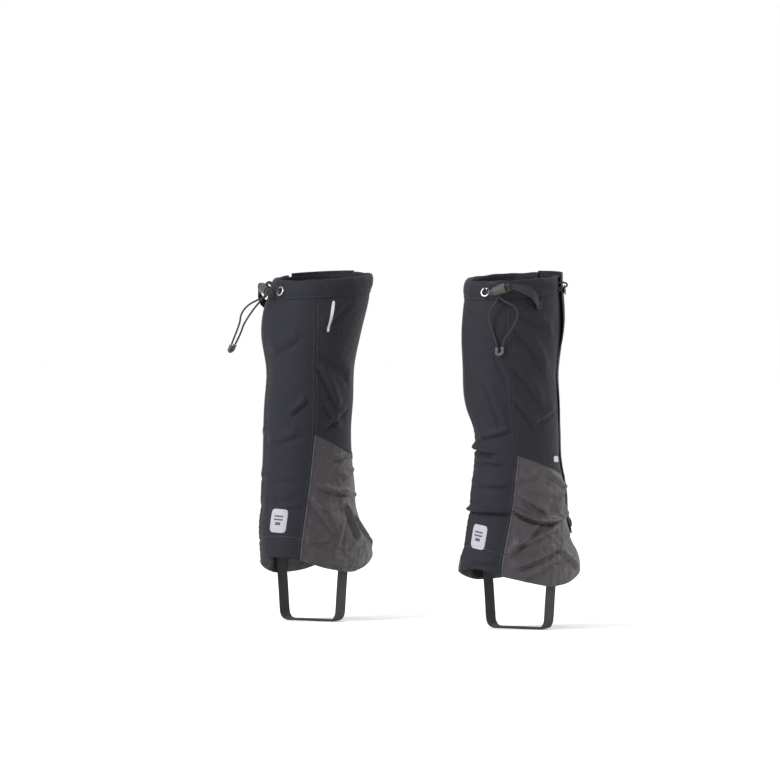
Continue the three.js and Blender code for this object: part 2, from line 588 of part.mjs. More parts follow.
// The webbing tab at the front hem and the lace hook that swings in its sewn loop
function addLaceHook(group, side) {
  const [hold, middle, low] = [110, (sections[1].z + sections[2].z) / 2, 93].map(
    (z) => shellPoint(180, z, gap + tabThickness / 2));
  const bore = hookBar / 2 + hookPlate / 2 + 0.15;
  const edge = shellPoint(180, hemEdge(180), 0);
  const centre = vector(0, edge.y - bore - tabThickness - 2 * gap, edge.z + 3.5);
  const half = tabThickness / 2;
  const strip = outline([
    [hold.y - half, hold.z], [middle.y - half, middle.z], [low.y - half, low.z],
    [centre.y - 0.5, centre.z + bore + tabThickness - 0.05], [centre.y + 0.6, centre.z + bore + 0.2],
    [low.y + half, low.z - 0.3], [middle.y + half, middle.z], [hold.y + half, hold.z],
  ]);
  const ring = new THREE.Shape().absarc(centre.y, centre.z, bore + tabThickness, 0, 2 * Math.PI);
  ring.holes.push(new THREE.Path().absarc(centre.y, centre.z, bore, 0, 2 * Math.PI));
  // A side view in (y, z), carried across the tab's width in x
  const across = (shape, half) => new THREE.ExtrudeGeometry(shape, { depth: 2 * half, bevelEnabled: false, curveSegments: 8 })
    .applyMatrix4(new THREE.Matrix4().set(0, 0, 1, -half, 1, 0, 0, 0, 0, 1, 0, 0, 0, 0, 0, 1));
  part(group, `${side}_lace_hook_tab`, join(across(strip, tabWidth / 2), across(ring, tabWidth / 2)), 'webbing');

  const wide = tabWidth / 2 + gap + hookArm;
  const window = bore + tabThickness + gap;
  const faceFrom = centre.y - hookPlate / 2;
  const frame = cut(
    block([-wide, faceFrom, centre.z - hookLength + hookCurl], [wide, faceFrom + hookPlate, centre.z + hookBar / 2]),
    block([hookArm - wide, faceFrom - 1, centre.z - window - 1], [wide - hookArm, faceFrom + 3, centre.z - hookBar / 2]),
  );
  const bendAt = [faceFrom + hookPlate + hookCurl - hookPlate, centre.z - hookLength + hookCurl];
  const curl = new THREE.Shape().absarc(...bendAt, hookCurl, Math.PI, 2 * Math.PI + 0.5);
  curl.absarc(...bendAt, hookCurl - hookPlate, 2 * Math.PI + 0.5, Math.PI, true);
  part(group, `${side}_lace_hook`, join(frame, across(curl, wide).translate(0, 0, 0.02)), 'steel');
}

function gaiter(side) {
  const group = new THREE.Group();
  addPanels(group, side);
  addTopHem(group, side);
  addDrawcord(group, side);
  const loopCentre = addCordLock(group, side);
  addTether(group, side, loopCentre);
  addCordPull(group, side);
  addFrontClosure(group, side);
  addInstepStrap(group, side);
  addTrim(group, side);
  addLaceHook(group, side);
  group.position.x = (side === 'left' ? 1 : -1) * legSpacing / 2;
  group.scale.x = side === 'left' ? 1 : -1;
  return group;
}

const pair = new THREE.Group();
pair.add(gaiter('left'), gaiter('right'));
export default pair;
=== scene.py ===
import math

import bmesh
import bpy
import numpy as np
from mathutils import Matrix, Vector


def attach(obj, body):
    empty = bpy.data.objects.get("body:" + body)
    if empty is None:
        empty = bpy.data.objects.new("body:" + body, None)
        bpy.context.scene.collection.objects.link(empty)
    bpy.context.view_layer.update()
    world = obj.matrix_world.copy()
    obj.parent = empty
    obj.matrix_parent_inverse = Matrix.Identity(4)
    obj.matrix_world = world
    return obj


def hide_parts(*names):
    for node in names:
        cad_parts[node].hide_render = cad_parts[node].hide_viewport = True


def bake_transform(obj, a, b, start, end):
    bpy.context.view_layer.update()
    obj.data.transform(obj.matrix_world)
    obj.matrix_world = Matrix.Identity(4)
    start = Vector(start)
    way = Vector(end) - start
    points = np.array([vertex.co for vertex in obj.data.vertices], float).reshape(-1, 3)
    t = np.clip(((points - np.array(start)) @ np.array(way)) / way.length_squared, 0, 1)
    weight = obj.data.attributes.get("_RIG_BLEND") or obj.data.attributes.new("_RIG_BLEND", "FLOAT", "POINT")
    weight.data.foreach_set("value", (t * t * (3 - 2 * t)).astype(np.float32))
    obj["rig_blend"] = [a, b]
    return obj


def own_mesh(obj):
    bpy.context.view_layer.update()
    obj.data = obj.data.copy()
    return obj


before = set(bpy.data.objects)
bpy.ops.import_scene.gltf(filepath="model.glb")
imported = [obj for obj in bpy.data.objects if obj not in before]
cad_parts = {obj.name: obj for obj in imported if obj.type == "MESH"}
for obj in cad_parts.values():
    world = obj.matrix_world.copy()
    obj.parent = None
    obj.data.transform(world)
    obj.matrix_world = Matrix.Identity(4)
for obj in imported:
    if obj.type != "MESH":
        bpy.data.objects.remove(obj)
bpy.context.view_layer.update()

# A pair of hiking gaiters. Shapes are worked out in millimetres round each leg's own centre line and
# written to the meshes in metres. The left gaiter has its outer side at +x; the right is its mirror.
mm = 0.001
sides = {"left": 1, "right": -1}
legSpacing = 300
root = "shells"

# the leg form
legForm = {
    "height": [46, 86, 114, 154, 190.4, 229.6, 268.8, 305.2, 344.4, 383.6, 420],
    "rear": [76, 76, 73, 66, 60, 56.5, 58, 58.7, 63, 64, 61.5],
    "front": [107, 101, 80, 67, 60, 56.5, 58, 58.7, 63, 64, 61.5],
    "side": [50, 50, 50.4, 50, 48.2, 48.2, 52, 52.6, 57, 59.2, 57],
    "inward": [0, 0, 0, 0, 0, 0.5, 2.5, 5, 7.5, 9.5, 11],
    "back": [0, 0, 0, 1, 3.5, 6, 7, 6.5, 3, -4, -10],
}
# How far each hem rides above the plain one round the leg, (angles, millimetres)
hemLifts = {
    "left": ([-180, -146, -125, -101, -86, -63, -38, -14, 30, 90, 140],
             [5, 10, 12, 7, 8, 7, 9, 8, 6, 4, 4]),
    "right": ([-170, -90, -44, 0, 30, 81, 100, 122, 145, 165], [4, 4, 6, 1, -4, -2.5, 0, 4.5, 6, 5]),
}
# How each gaiter sits on its leg: where its seen side seam and knee seam run, and how far the cloth lies
# outside the plain leg form at the two sides, (angle, {height: millimetres})
worn = {
    "left": {"seam": ([60, 78, 111, 147, 206, 230, 284, 337, 386, 418],
                      [38, 38, 40, 43, 50, 52, 49, 44, 37, 35]),
             "seamSide": -1, "knee": (229, 186),
             "lean": [(55, [60, 80, 110, 150, 190, 232, 290, 345, 378, 398, 418],
                       [-3, -4, 0, 1, 1, 0, -5, 2, 1, -5, -6]),
                      (-125, [60, 90, 130, 170, 230, 290, 345, 400, 418], [3, 6, 0, 2, 3.5, 1, 0, 2, 2])]},
    "right": {"seam": ([60, 78, 106, 141, 176, 204, 235, 270, 334, 387, 418],
                       [29, 30, 33.5, 38, 41, 44, 40, 38, 39, 36, 35]),
              "seamSide": 1, "knee": (206, 172),
              "lean": [(-55, [60, 75, 100, 135, 160, 195, 230, 260, 290, 345, 400, 418],
                        [9, 8, 2, -1, -2, -5, -6, 0, 1, -3, -6, -6]),
                       (125, [60, 80, 105, 135, 165, 200, 230, 280, 345, 400, 418],
                        [5, 5, 1, 2, 3, 2, 3.5, 1, 2, -4, -4])]},
}
edges = {"top": 418, "topDip": 10, "hemSide": 52, "hemRear": 19, "hemFront": 32, "rearSeam": 35,
         "shinEdge": 182.4}


# A cubic between neighbouring knots, with the slope at each knot taken across the two beside it.
def cubicThrough(knots, values, at):
    knots, values = np.asarray(knots, float), np.asarray(values, float)
    gap = np.diff(knots)
    slope = np.empty_like(values)
    widened = (...,) + (None,) * (values.ndim - 1)
    slope[1:-1] = (values[2:] - values[:-2]) / (knots[2:] - knots[:-2])[widened]
    slope[0] = (values[1] - values[0]) / gap[0]
    slope[-1] = (values[-1] - values[-2]) / gap[-1]
    i = np.clip(np.searchsorted(knots, at, side="right") - 1, 0, len(knots) - 2)
    width = gap[i]
    t = (at - knots[i]) / width
    if values.ndim > 1:
        t, width = t[..., None], width[..., None]
    rise = values[i + 1] - values[i]
    a, b = slope[i] * width, slope[i + 1] * width
    return values[i] + t * (a + t * (3 * rise - 2 * a - b + t * (a + b - 2 * rise)))


def topEdge(angle):
    return edges["top"] - edges["topDip"] * (1 + np.cos(np.radians(angle))) / 2


def hemEdge(angle):
    c = np.cos(np.radians(angle))
    rear, front = np.maximum(c, 0) ** 1.25, np.maximum(-c, 0) ** 3.4
    return edges["hemSide"] + edges["hemRear"] * rear + edges["hemFront"] * front


# The hem as it lies over the boot: the plain edge and that gaiter's own lift, closed round the
# leg.
def hemLine(side, angle):
    angles, lifts = (np.array(row, float) for row in hemLifts[side])
    knots = np.concatenate([angles - 360, angles, angles + 360])
    return hemEdge(angle) + cubicThrough(knots, np.tile(lifts, 3), np.asarray(angle, float))


def kneeSeam(side, angle):
    rear, front = worn[side]["knee"]
    share = np.clip((np.abs(angle) - edges["rearSeam"]) / (180 - edges["rearSeam"]), 0, 1)
    return rear + (front - rear) * share ** 1.4 * (2.4 - 1.4 * share)


# The half angle of the rear panel: the seen seam wanders with the cloth, the other one stays
# straight.
def seamAngle(side, sign, z):
    if sign != worn[side]["seamSide"]:
        return np.full_like(np.asarray(z, float), edges["rearSeam"])
    return smoothTable(*worn[side]["seam"], z)


def smoothTable(knots, values, at):
    at = np.clip(at, knots[0], knots[-1])
    return cubicThrough(knots, values, at)


# Extra reach at the gaiter's two seen sides, fading round the leg from each by a bell curve.
def lean(side, angle, z):
    total = np.zeros(np.broadcast(angle, z).shape)
    for centre, knots, values in worn[side]["lean"]:
        away = (np.asarray(angle) - centre + 180) % 360 - 180
        total = total + smoothTable(knots, values, z) * np.exp(-(away / 42) ** 2)
    return total


# Folds of the cloth, side by side: from (angle, height) to (angle, height), how far it sags between them,
# its width and how far it stands out, in degrees and millimetres
folds = {
    "left": [
        (-74, 196, -120, 201, 0, 3.6, 2.4), (-86, 174, -124, 184, -2, 3.4, 2.6),
        (-58, 165, -105, 156, -3, 3.6, 2.4), (-48, 156, -83, 107, 2, 7, 1.7),
        (-102, 141, -112, 96, 0, 4, 3.0), (-111, 130, -146, 87, 0, 4.2, 2.4),
        (-56, 139, -95, 145, -2, 5, 1.5), (-94, 127, -79, 92, 0, 5, 1.6), (-43, 99, -72, 104, 0, 5, 1.2),
        (-66, 79, -114, 69, -2, 5, 1.2), (-90, 157, -134, 149, 0, 3.4, 2.0),
        (-16, 250, -39, 269, -1, 4.5, 2.0), (-52, 311, -86, 251, 3, 5.5, 2.0),
        (-64, 266, -90, 233, 0, 4.5, 1.7), (-44, 349, -71, 385, 0, 7, 1.5),
        (-62, 236, -98, 259, -2, 5, 1.5), (22, 218, -32, 230, -3, 6, 1.3), (66, 180, -44, 175, -3, 5, 0.6),
        (-14, 139, -42, 143, 0, 4, 1.0), (-50, 331, -108, 289, 4, 8, 1.5), (19, 325, -24, 349, -3, 8, 1.2),
        (58, 145, -34, 156, -2, 6, 0.6),
    ],
    "right": [
        (-48, 142, 40, 140, 0, 3.2, 3.6), (37, 145, 131, 144, -17, 2.9, 5.6),
        (-70, 216, 18, 208, 1, 3.4, 3.0), (-16, 227, 36, 237, -2, 4, 2.0), (-25, 202, 26, 196, 0, 4, 2.0),
        (-38, 174, 38, 172, -1, 4, 1.7), (34, 88, 74, 130, 0, 4.6, 2.6), (37, 74, 136, 118, -3, 4.6, 2.6),
        (42, 101, 100, 122, -1, 4, 2.0), (50, 64, 102, 89, 0, 5, 1.6), (96, 99, 128, 69, 0, 4.4, 1.8),
        (47, 160, 86, 137, -1, 4, 1.7), (84, 187, 131, 164, 0, 4.4, 1.7), (92, 138, 130, 172, 0, 4.4, 1.9),
        (41, 177, 69, 187, 0, 5, 1.3), (60, 169, 102, 158, 0, 4, 1.2), (41, 361, 89, 302, 5, 6.5, 2.0),
        (42, 275, 72, 238, 2, 5, 1.7), (46, 375, 94, 349, 3, 6, 1.3), (44, 314, 80, 267, 3, 6, 1.7),
        (6, 293, 30, 235, 2, 6, 1.5), (-16, 386, 26, 334, 3, 8, 1.1), (23, 328, 40, 286, 0, 5, 1.3),
        (-44, 85, 28, 82, 0, 5, 1.1), (62, 246, 104, 262, -2, 5, 1.4),
    ],
}
cloth = {"radius": 56, "foldGain": 1.35, "valley": 0.95, "seamLift": 0.55, "seamHalf": 3.0,
         "pucker": 0.22, "puckerPitch": 7.5,
         "ankle": 140, "ankleBand": 13, "ankleTuck": 1.4, "unevenness": 0.35}


# Directions, wave numbers and phases of a few plane waves.
def seededWaves(seed, count, low, high):
    rng = np.random.default_rng(seed)
    turn = rng.uniform(0, math.pi, count)
    length = rng.uniform(low, high, count)
    return np.cos(turn) / length, np.sin(turn) / length, rng.uniform(0, 2 * math.pi, count)


# How far the cloth stands out at each point: a ridge along each fold with a valley under it, the
# tuck and gathers of the ankle elastic, the seams' welts with their puckers, and long shallow
# waves.
def foldHeight(side, angle, z):
    angle, z = np.broadcast_arrays(np.asarray(angle, float), np.asarray(z, float))
    around = np.radians(angle) * cloth["radius"]
    height = np.zeros(angle.shape)
    for a0, z0, a1, z1, sag, width, lift in folds[side]:
        start = np.array([math.radians(a0) * cloth["radius"], z0])
        along = np.array([math.radians(a1) * cloth["radius"], z1]) - start
        length = np.hypot(*along)
        along = along / length
        s = ((around - start[0]) * along[0] + (z - start[1]) * along[1]) / length
        d = (z - start[1]) * along[0] - (around - start[0]) * along[1]
        if along[0] < 0:
            d = -d
        d = d - sag * 4 * s * (1 - s)
        ends = np.exp(-(np.maximum(np.abs(s - 0.5) - 0.32, 0) / 0.13) ** 2)
        ridge = np.exp(-(d / width) ** 2) - cloth["valley"] * np.exp(-((d + 1.25 * width) / (0.5
            * width)) ** 2)
        height += cloth["foldGain"] * lift * ends * ridge
    kx, kz, phase = seededWaves(11 if side == "left" else 29, 10, 9, 34)
    waves = sum(np.sin(around * x + z * y + p) for x, y, p in zip(kx, kz, phase)) / 4
    soft = np.clip((z - 60) / 40, 0, 1) * np.clip((402 - z) / 30, 0, 1)
    height += cloth["unevenness"] * waves * soft
    band = np.exp(-((z - cloth["ankle"]) / cloth["ankleBand"]) ** 2)
    gather = np.sin(around / 3.1 + 1.3 * np.sin(around / 11)) * 0.35
    height += band * (gather - cloth["ankleTuck"])
    half = np.where(angle > 0, seamAngle(side, 1, z), seamAngle(side, -1, z))
    across = (np.abs(angle) - half) * math.radians(cloth["radius"])
    welt = np.exp(-(across / cloth["seamHalf"]) ** 4) * cloth["seamLift"]
    pucker = np.sin(2 * math.pi * z / cloth["puckerPitch"] + 2 * np.sin(z / 17)) * cloth["pucker"]
    height += welt * np.clip((380 - z) / 20, 0, 1) + pucker * np.exp(-(across / 6) ** 2)
    knee = np.where(np.abs(angle) > half, z - kneeSeam(side, angle), 99)
    height += 0.45 * np.exp(-((knee - 2.5) / 3.0) ** 4)
    hem = z - hemLine(side, angle)
    height += 0.45 * np.exp(-(hem / 24) ** 8) - 0.9 * np.exp(-((hem - 25.5) / 1.5) ** 2)
    height += 0.3 * np.exp(-(hem / 5) ** 2) * np.sin(around / 6.5 + 2 * np.sin(around / 19))
    return height * np.clip((topEdge(angle) - 8 - z) / 16, 0.15, 1)


# A point round the leg: the section's ellipse at that height, pushed out by the offset and the
# folds, (side reach * sin(angle) - inward lean, rear or front reach * cos(angle) + rearward lean,
# height).
def shell(side, angle, z, offset=0.0, wrinkled=True):
    angle, z, offset = np.broadcast_arrays(*(np.asarray(v, float) for v in (angle, z, offset)))
    reach = {key: cubicThrough(legForm["height"], legForm[key], z)
             for key in ("rear", "front", "side", "inward", "back")}
    offset = offset + lean(side, angle, z)
    if wrinkled:
        offset = offset + foldHeight(side, angle, z)
    c, s = np.cos(np.radians(angle)), np.sin(np.radians(angle))
    y = np.where(c > 0, reach["rear"], reach["front"])
    x = (reach["side"] + offset) * s - reach["inward"]
    return np.stack([x, (y + offset) * c + reach["back"], z], axis=-1)


# Points of the left gaiter's own frame, in millimetres, to the row frame in metres.
def placed(side, points):
    sign = sides[side]
    points = np.asarray(points, float).reshape(-1, 3)
    return np.column_stack([sign * (points[:, 0] + legSpacing / 2), points[:, 1], points[:, 2]]) * mm


# meshes
def makeMesh(name, points, faces, uvs=None, smooth=True):
    mesh = bpy.data.meshes.new(name)
    mesh.from_pydata(points.tolist(), [], [list(map(int, face)) for face in faces])
    if uvs is not None:
        layer = mesh.uv_layers.new(name="UVMap")
        loops = np.empty(len(mesh.loops), np.int64)
        mesh.loops.foreach_get("vertex_index", loops)
        layer.data.foreach_set("uv", np.asarray(uvs, float)[loops].ravel().astype(np.float32))
    mesh.polygons.foreach_set("use_smooth", [smooth] * len(mesh.polygons))
    mesh.update()
    piece = bpy.data.objects.new(name, mesh)
    bpy.context.scene.collection.objects.link(piece)
    return piece


# Quads of a grid stored row by row; with wrap the last column joins the first.
def gridFaces(rows, columns, flip=False, wrap=False):
    across = columns if wrap else columns - 1
    r, c = np.meshgrid(np.arange(rows - 1), np.arange(across), indexing="ij")
    n = (c + 1) % columns
    quads = np.stack([r * columns + c, r * columns + n, (r + 1) * columns + n, (r + 1) * columns + c],
                     axis=-1)
    quads = quads.reshape(-1, 4)
    return quads[:, ::-1] if flip else quads


# Cloth on the leg form: angle runs along each row, height from the low edge to the high edge up
# each column.
def clothSheet(name, side, angles, low, high, step, offset=0.0, wall=0.8, edge=None, wrinkled=True):
    low = low if callable(low) else (lambda angle, value=low: np.full_like(angle, value))
    high = high if callable(high) else (lambda angle, value=high: np.full_like(angle, value))
    a0, a1 = angles
    columns = max(4, int(abs(a1 - a0) * math.radians(cloth["radius"]) / step) + 1)
    angle = np.linspace(a0, a1, columns)[None, :]
    tall = float(np.max(high(angle) - low(angle)))
    rows = max(4, int(tall / step) + 1)
    t = np.linspace(0, 1, rows)[:, None]
    z = low(angle) + (high(angle) - low(angle)) * t
    angle = np.broadcast_to(angle, z.shape)
    if edge is not None:
        share = (angle - a0) / (a1 - a0)
        for _ in range(5):
            angle = edge[0](z) + (edge[1](z) - edge[0](z)) * share
            z = low(angle) + (high(angle) - low(angle)) * t
    lift = offset(angle, z) if callable(offset) else offset
    points = placed(side, shell(side, angle, z, lift, wrinkled))
    uvs = np.stack([np.radians(angle) * cloth["radius"] * mm, z * mm], axis=-1).reshape(-1, 2)
    flip = (sides[side] > 0) == (a1 > a0)
    piece = makeMesh(name, points, gridFaces(rows, columns, flip=flip), uvs)
    if wall:
        addWall(piece, wall)
    return piece


def addWall(piece, wall, rim=True):
    solid = piece.modifiers.new("wall", "SOLIDIFY")
    solid.thickness = wall * mm
    solid.offset = -1
    solid.use_rim = rim
    solid.use_even_offset = False


# A smooth curve through the points, by a cubic on the square root of the chord, walked in equal
# steps.
def smoothPath(points, step):
    points = np.asarray(points, float)
    knots = np.concatenate([[0], np.cumsum(np.sqrt(np.linalg.norm(np.diff(points, axis=0), axis=1)))])
    fine = cubicThrough(knots, points, np.linspace(0, knots[-1], 60 * len(points)))
    run = np.concatenate([[0], np.cumsum(np.linalg.norm(np.diff(fine, axis=0), axis=1))])
    count = max(8, int(run[-1] / step))
    at = np.linspace(0, run[-1], count)
    return np.column_stack([np.interp(at, run, fine[:, k]) for k in range(3)]), float(run[-1])


# Axes along a path, turned as little as possible from ring to ring.
def carried(path, firstUp=(0, 0, 1)):
    tangent = np.gradient(path, axis=0)
    tangent /= np.linalg.norm(tangent, axis=1, keepdims=True)
    up = np.empty_like(path)
    current = np.array(firstUp, float)
    for i, t in enumerate(tangent):
        current = current - t * (current @ t)
        if np.linalg.norm(current) < 1e-6:
            current = np.cross(t, [0.3, 0.9, 0.2])
        current = current / np.linalg.norm(current)
        up[i] = current
    return tangent, up, np.cross(tangent, up)


# A round section carried along a smooth path: path + radius * (cos(turn) * up + sin(turn) *
# across).
def tubePiece(name, side, points, radius, step=0.6, rings=14, ends=True, taper=None):
    path, length = smoothPath(points, step)
    tangent, up, across = carried(path)
    turn = np.linspace(0, 2 * math.pi, rings, endpoint=False)
    wide = np.full(len(path), radius) if taper is None else radius * taper(np.linspace(0, 1, len(path)))
    ring = np.cos(turn)[None, :, None] * up[:, None] + np.sin(turn)[None, :, None] * across[:, None]
    grid = path[:, None] + ring * wide[:, None, None]
    body = placed(side, grid)
    along = np.linspace(0, length, len(path))
    uvs = np.stack(np.broadcast_arrays(turn[None, :] / (2 * math.pi), along[:, None] * mm),
                   axis=-1).reshape(-1, 2)
    flip = sides[side] < 0
    faces = [list(face) for face in gridFaces(len(path), rings, flip=flip, wrap=True)]
    if ends:
        first, last = list(range(rings)), list(range((len(path) - 1) * rings, len(path) * rings))
        faces += [first if flip else first[::-1], last[::-1] if flip else last]
    piece = makeMesh(name, body, faces, uvs)
    return piece, placed(side, path), length * mm


# A profile of (radius, height) pairs turned about an axis through the centre.
def turnedPiece(name, side, profile, centre, axis, segments=40):
    profile = np.asarray(profile, float)
    axis = np.asarray(axis, float) / np.linalg.norm(axis)
    helper = np.cross(axis, [0, 0, 1] if abs(axis[2]) < 0.9 else [1, 0, 0])
    helper /= np.linalg.norm(helper)
    other = np.cross(axis, helper)
    turn = np.linspace(0, 2 * math.pi, segments, endpoint=False)
    ring = np.cos(turn)[None, :, None] * helper + np.sin(turn)[None, :, None] * other
    grid = np.asarray(centre) + profile[:, :1, None] * ring + profile[:, 1:, None] * axis
    points = placed(side, grid)
    piece = makeMesh(name, points, gridFaces(len(profile), segments, flip=sides[side] < 0, wrap=True))
    tidyNormals(piece)
    return piece


# Doubles merged and faces turned outwards on a closed piece.
def tidyNormals(piece):
    work = bmesh.new()
    work.from_mesh(piece.data)
    bmesh.ops.remove_doubles(work, verts=work.verts, dist=1e-6)
    bmesh.ops.recalc_face_normals(work, faces=work.faces)
    work.to_mesh(piece.data)
    work.free()


# shader helpers
# Short calls for building a node tree.
class Nodes:
    def __init__(self, tree):
        self.tree = tree

    def add(self, kind, **settings):
        node = self.tree.nodes.new(kind)
        for key, value in settings.items():
            setattr(node, key, value)
        return node

    def link(self, source, target):
        self.tree.links.new(source, target)

    def math(self, operation, a, b=None, clamp=False):
        node = self.add("ShaderNodeMath", operation=operation, use_clamp=clamp)
        for socket, value in zip(node.inputs, (a, b)):
            if value is None:
                continue
            if isinstance(value, (int, float)):
                socket.default_value = value
            else:
                self.link(value, socket)
        return node.outputs[0]


def newGroup(name, inputs, outputs):
    group = bpy.data.node_groups.new(name, "ShaderNodeTree")
    for label, kind, value in inputs:
        socket = group.interface.new_socket(label, in_out="INPUT", socket_type=kind)
        if value is not None:
            socket.default_value = value
    for label, kind in outputs:
        group.interface.new_socket(label, in_out="OUTPUT", socket_type=kind)
    nodes = Nodes(group)
    return group, nodes, nodes.add("NodeGroupInput"), nodes.add("NodeGroupOutput")


# Warp and weft: |sin| of each thread count, taken turn about, as a height and a thread shade.
def weaveGroup():
    group, n, start, end = newGroup("weave", [
        ("Vector", "NodeSocketVector", None), ("Pitch", "NodeSocketFloat", 0.0009)],
        [("Height", "NodeSocketFloat"), ("Shade", "NodeSocketFloat")])
    xyz = n.add("ShaderNodeSeparateXYZ")
    n.link(start.outputs["Vector"], xyz.inputs[0])
    u = n.math("DIVIDE", xyz.outputs[0], start.outputs["Pitch"])
    v = n.math("DIVIDE", xyz.outputs[1], start.outputs["Pitch"])
    warp = n.math("ABSOLUTE", n.math("SINE", n.math("MULTIPLY", u, math.pi)))
    weft = n.math("ABSOLUTE", n.math("SINE", n.math("MULTIPLY", v, math.pi)))
    checker = n.math("MODULO", n.math("ADD", n.math("FLOOR", u), n.math("FLOOR", v)), 2)
    over = n.math("ABSOLUTE", checker)
    under = n.math("SUBTRACT", 1, over)
    height = n.math("ADD", n.math("MULTIPLY", warp, over), n.math("MULTIPLY", weft, under))
    n.link(height, end.inputs["Height"])
    n.link(n.math("SUBTRACT", height, 0.6), end.inputs["Shade"])
    return group


# Ripstop: a thicker thread every few millimetres each way, as a mask of thin lines.
def ripGroup():
    group, n, start, end = newGroup("ripstopLines", [
        ("Vector", "NodeSocketVector", None), ("Pitch", "NodeSocketFloat", 0.005),
        ("Line", "NodeSocketFloat", 0.12)],
        [("Mask", "NodeSocketFloat")])
    xyz = n.add("ShaderNodeSeparateXYZ")
    n.link(start.outputs["Vector"], xyz.inputs[0])
    lines = []
    for k in (0, 1):
        part = n.math("FRACT", n.math("DIVIDE", xyz.outputs[k], start.outputs["Pitch"]))
        away = n.math("ABSOLUTE", n.math("SUBTRACT", part, 0.5))
        lines.append(n.math("SUBTRACT", 1, n.math("DIVIDE", away, start.outputs["Line"]), clamp=True))
    n.link(n.math("MAXIMUM", *lines), end.inputs["Mask"])
    return group


# Uneven tone and a little dust: two noises, one broad and one fine, as values about 0.
def wearGroup():
    group, n, start, end = newGroup("wearAndDust", [("Vector", "NodeSocketVector", None)],
                                    [("Broad", "NodeSocketFloat"), ("Fine", "NodeSocketFloat")])
    for label, scale, detail in (("Broad", 14, 3), ("Fine", 420, 4)):
        noise = n.add("ShaderNodeTexNoise")
        noise.inputs["Scale"].default_value = scale
        noise.inputs["Detail"].default_value = detail
        n.link(start.outputs["Vector"], noise.inputs["Vector"])
        n.link(n.math("SUBTRACT", noise.outputs["Fac"], 0.5), end.inputs[label])
    return group


groups = {"weave": weaveGroup(), "rip": ripGroup(), "wear": wearGroup()}


def srgb(r, g, b):
    values = [v / 255 for v in (r, g, b)]
    return tuple(v / 12.92 if v <= 0.04045 else ((v + 0.055) / 1.055) ** 2.4 for v in values) + (1,)


def newMaterial(name, roughness, metallic=0.0, sheen=0.0, coat=0.0, specular=0.5):
    material = bpy.data.materials.new(name)
    material.use_nodes = True
    n = Nodes(material.node_tree)
    shader = material.node_tree.nodes["Principled BSDF"]
    shader.inputs["Roughness"].default_value = roughness
    shader.inputs["Metallic"].default_value = metallic
    shader.inputs["Sheen Weight"].default_value = sheen
    shader.inputs["Coat Weight"].default_value = coat
    shader.inputs["Specular IOR Level"].default_value = specular
    return material, n, shader


def useGroup(n, key, vector, **values):
    node = n.add("ShaderNodeGroup")
    node.node_tree = groups[key]
    n.link(vector, node.inputs["Vector"])
    for label, value in values.items():
        node.inputs[label].default_value = value
    return node


# The base colour times 1 + the sum of each value times its amount.
def toned(n, shader, colour, amounts):
    total = None
    for value, amount in amounts:
        part = n.math("MULTIPLY", value, amount)
        total = part if total is None else n.math("ADD", total, part)
    scale = n.add("ShaderNodeVectorMath", operation="SCALE")
    rgb = n.add("ShaderNodeCombineXYZ")
    for k in range(3):
        rgb.inputs[k].default_value = colour[k]
    n.link(rgb.outputs[0], scale.inputs[0])
    n.link(n.math("ADD", total, 1), scale.inputs["Scale"])
    n.link(scale.outputs[0], shader.inputs["Base Color"])
    return scale


def bumped(n, shader, height, strength, distance, under=None):
    bump = n.add("ShaderNodeBump")
    bump.inputs["Strength"].default_value = strength
    bump.inputs["Distance"].default_value = distance
    n.link(height, bump.inputs["Height"])
    if under is not None:
        n.link(under.outputs[0], bump.inputs["Normal"])
    n.link(bump.outputs[0], shader.inputs["Normal"])
    return bump


def clothMaterial(name, colour, roughness=0.85, pitch=0.0009, rip=None, sheen=0.02, ripTone=0.25,
                  specular=0.2,
                  crease=0.0022, crinkle=0.0):
    material, n, shader = newMaterial(name, roughness, sheen=sheen, specular=specular)
    uv = n.add("ShaderNodeUVMap", uv_map="UVMap").outputs[0]
    objectPlace = n.add("ShaderNodeTexCoord").outputs["Object"]
    weave = useGroup(n, "weave", uv, Pitch=pitch)
    wear = useGroup(n, "wear", objectPlace)
    amounts = [(weave.outputs["Shade"], 0.22), (wear.outputs["Broad"], 0.35), (wear.outputs["Fine"], 0.3)]
    height = weave.outputs["Height"]
    if rip:
        lines = useGroup(n, "rip", uv, Pitch=rip, Line=0.1)
        amounts.append((lines.outputs["Mask"], ripTone))
        height = n.math("ADD", height, n.math("MULTIPLY", lines.outputs["Mask"], 1.6))
    toned(n, shader, colour, amounts)
    drape = n.add("ShaderNodeTexNoise")
    drape.inputs["Scale"].default_value = 55
    drape.inputs["Detail"].default_value = 2
    drape.inputs["Distortion"].default_value = 0.8
    n.link(objectPlace, drape.inputs["Vector"])
    soft = bumped(n, shader, drape.outputs["Fac"], 0.6, crease)
    if crinkle:
        bend = n.add("ShaderNodeVectorMath", operation="MULTIPLY_ADD")
        n.link(drape.outputs["Color"], bend.inputs[0])
        bend.inputs[1].default_value = (0.012, 0.012, 0.012)
        n.link(objectPlace, bend.inputs[2])
        facets = n.add("ShaderNodeTexVoronoi")
        facets.inputs["Scale"].default_value = 75
        n.link(bend.outputs[0], facets.inputs["Vector"])
        soft = bumped(n, shader, facets.outputs["Distance"], 0.7, crinkle, under=soft)
    fine = bumped(n, shader, wear.outputs["Fine"], 0.25, 0.0004, under=soft)
    bumped(n, shader, height, 0.35, 0.00018, under=fine)
    n.link(n.math("ADD", n.math("MULTIPLY", wear.outputs["Broad"], 0.2), roughness),
           shader.inputs["Roughness"])
    return material


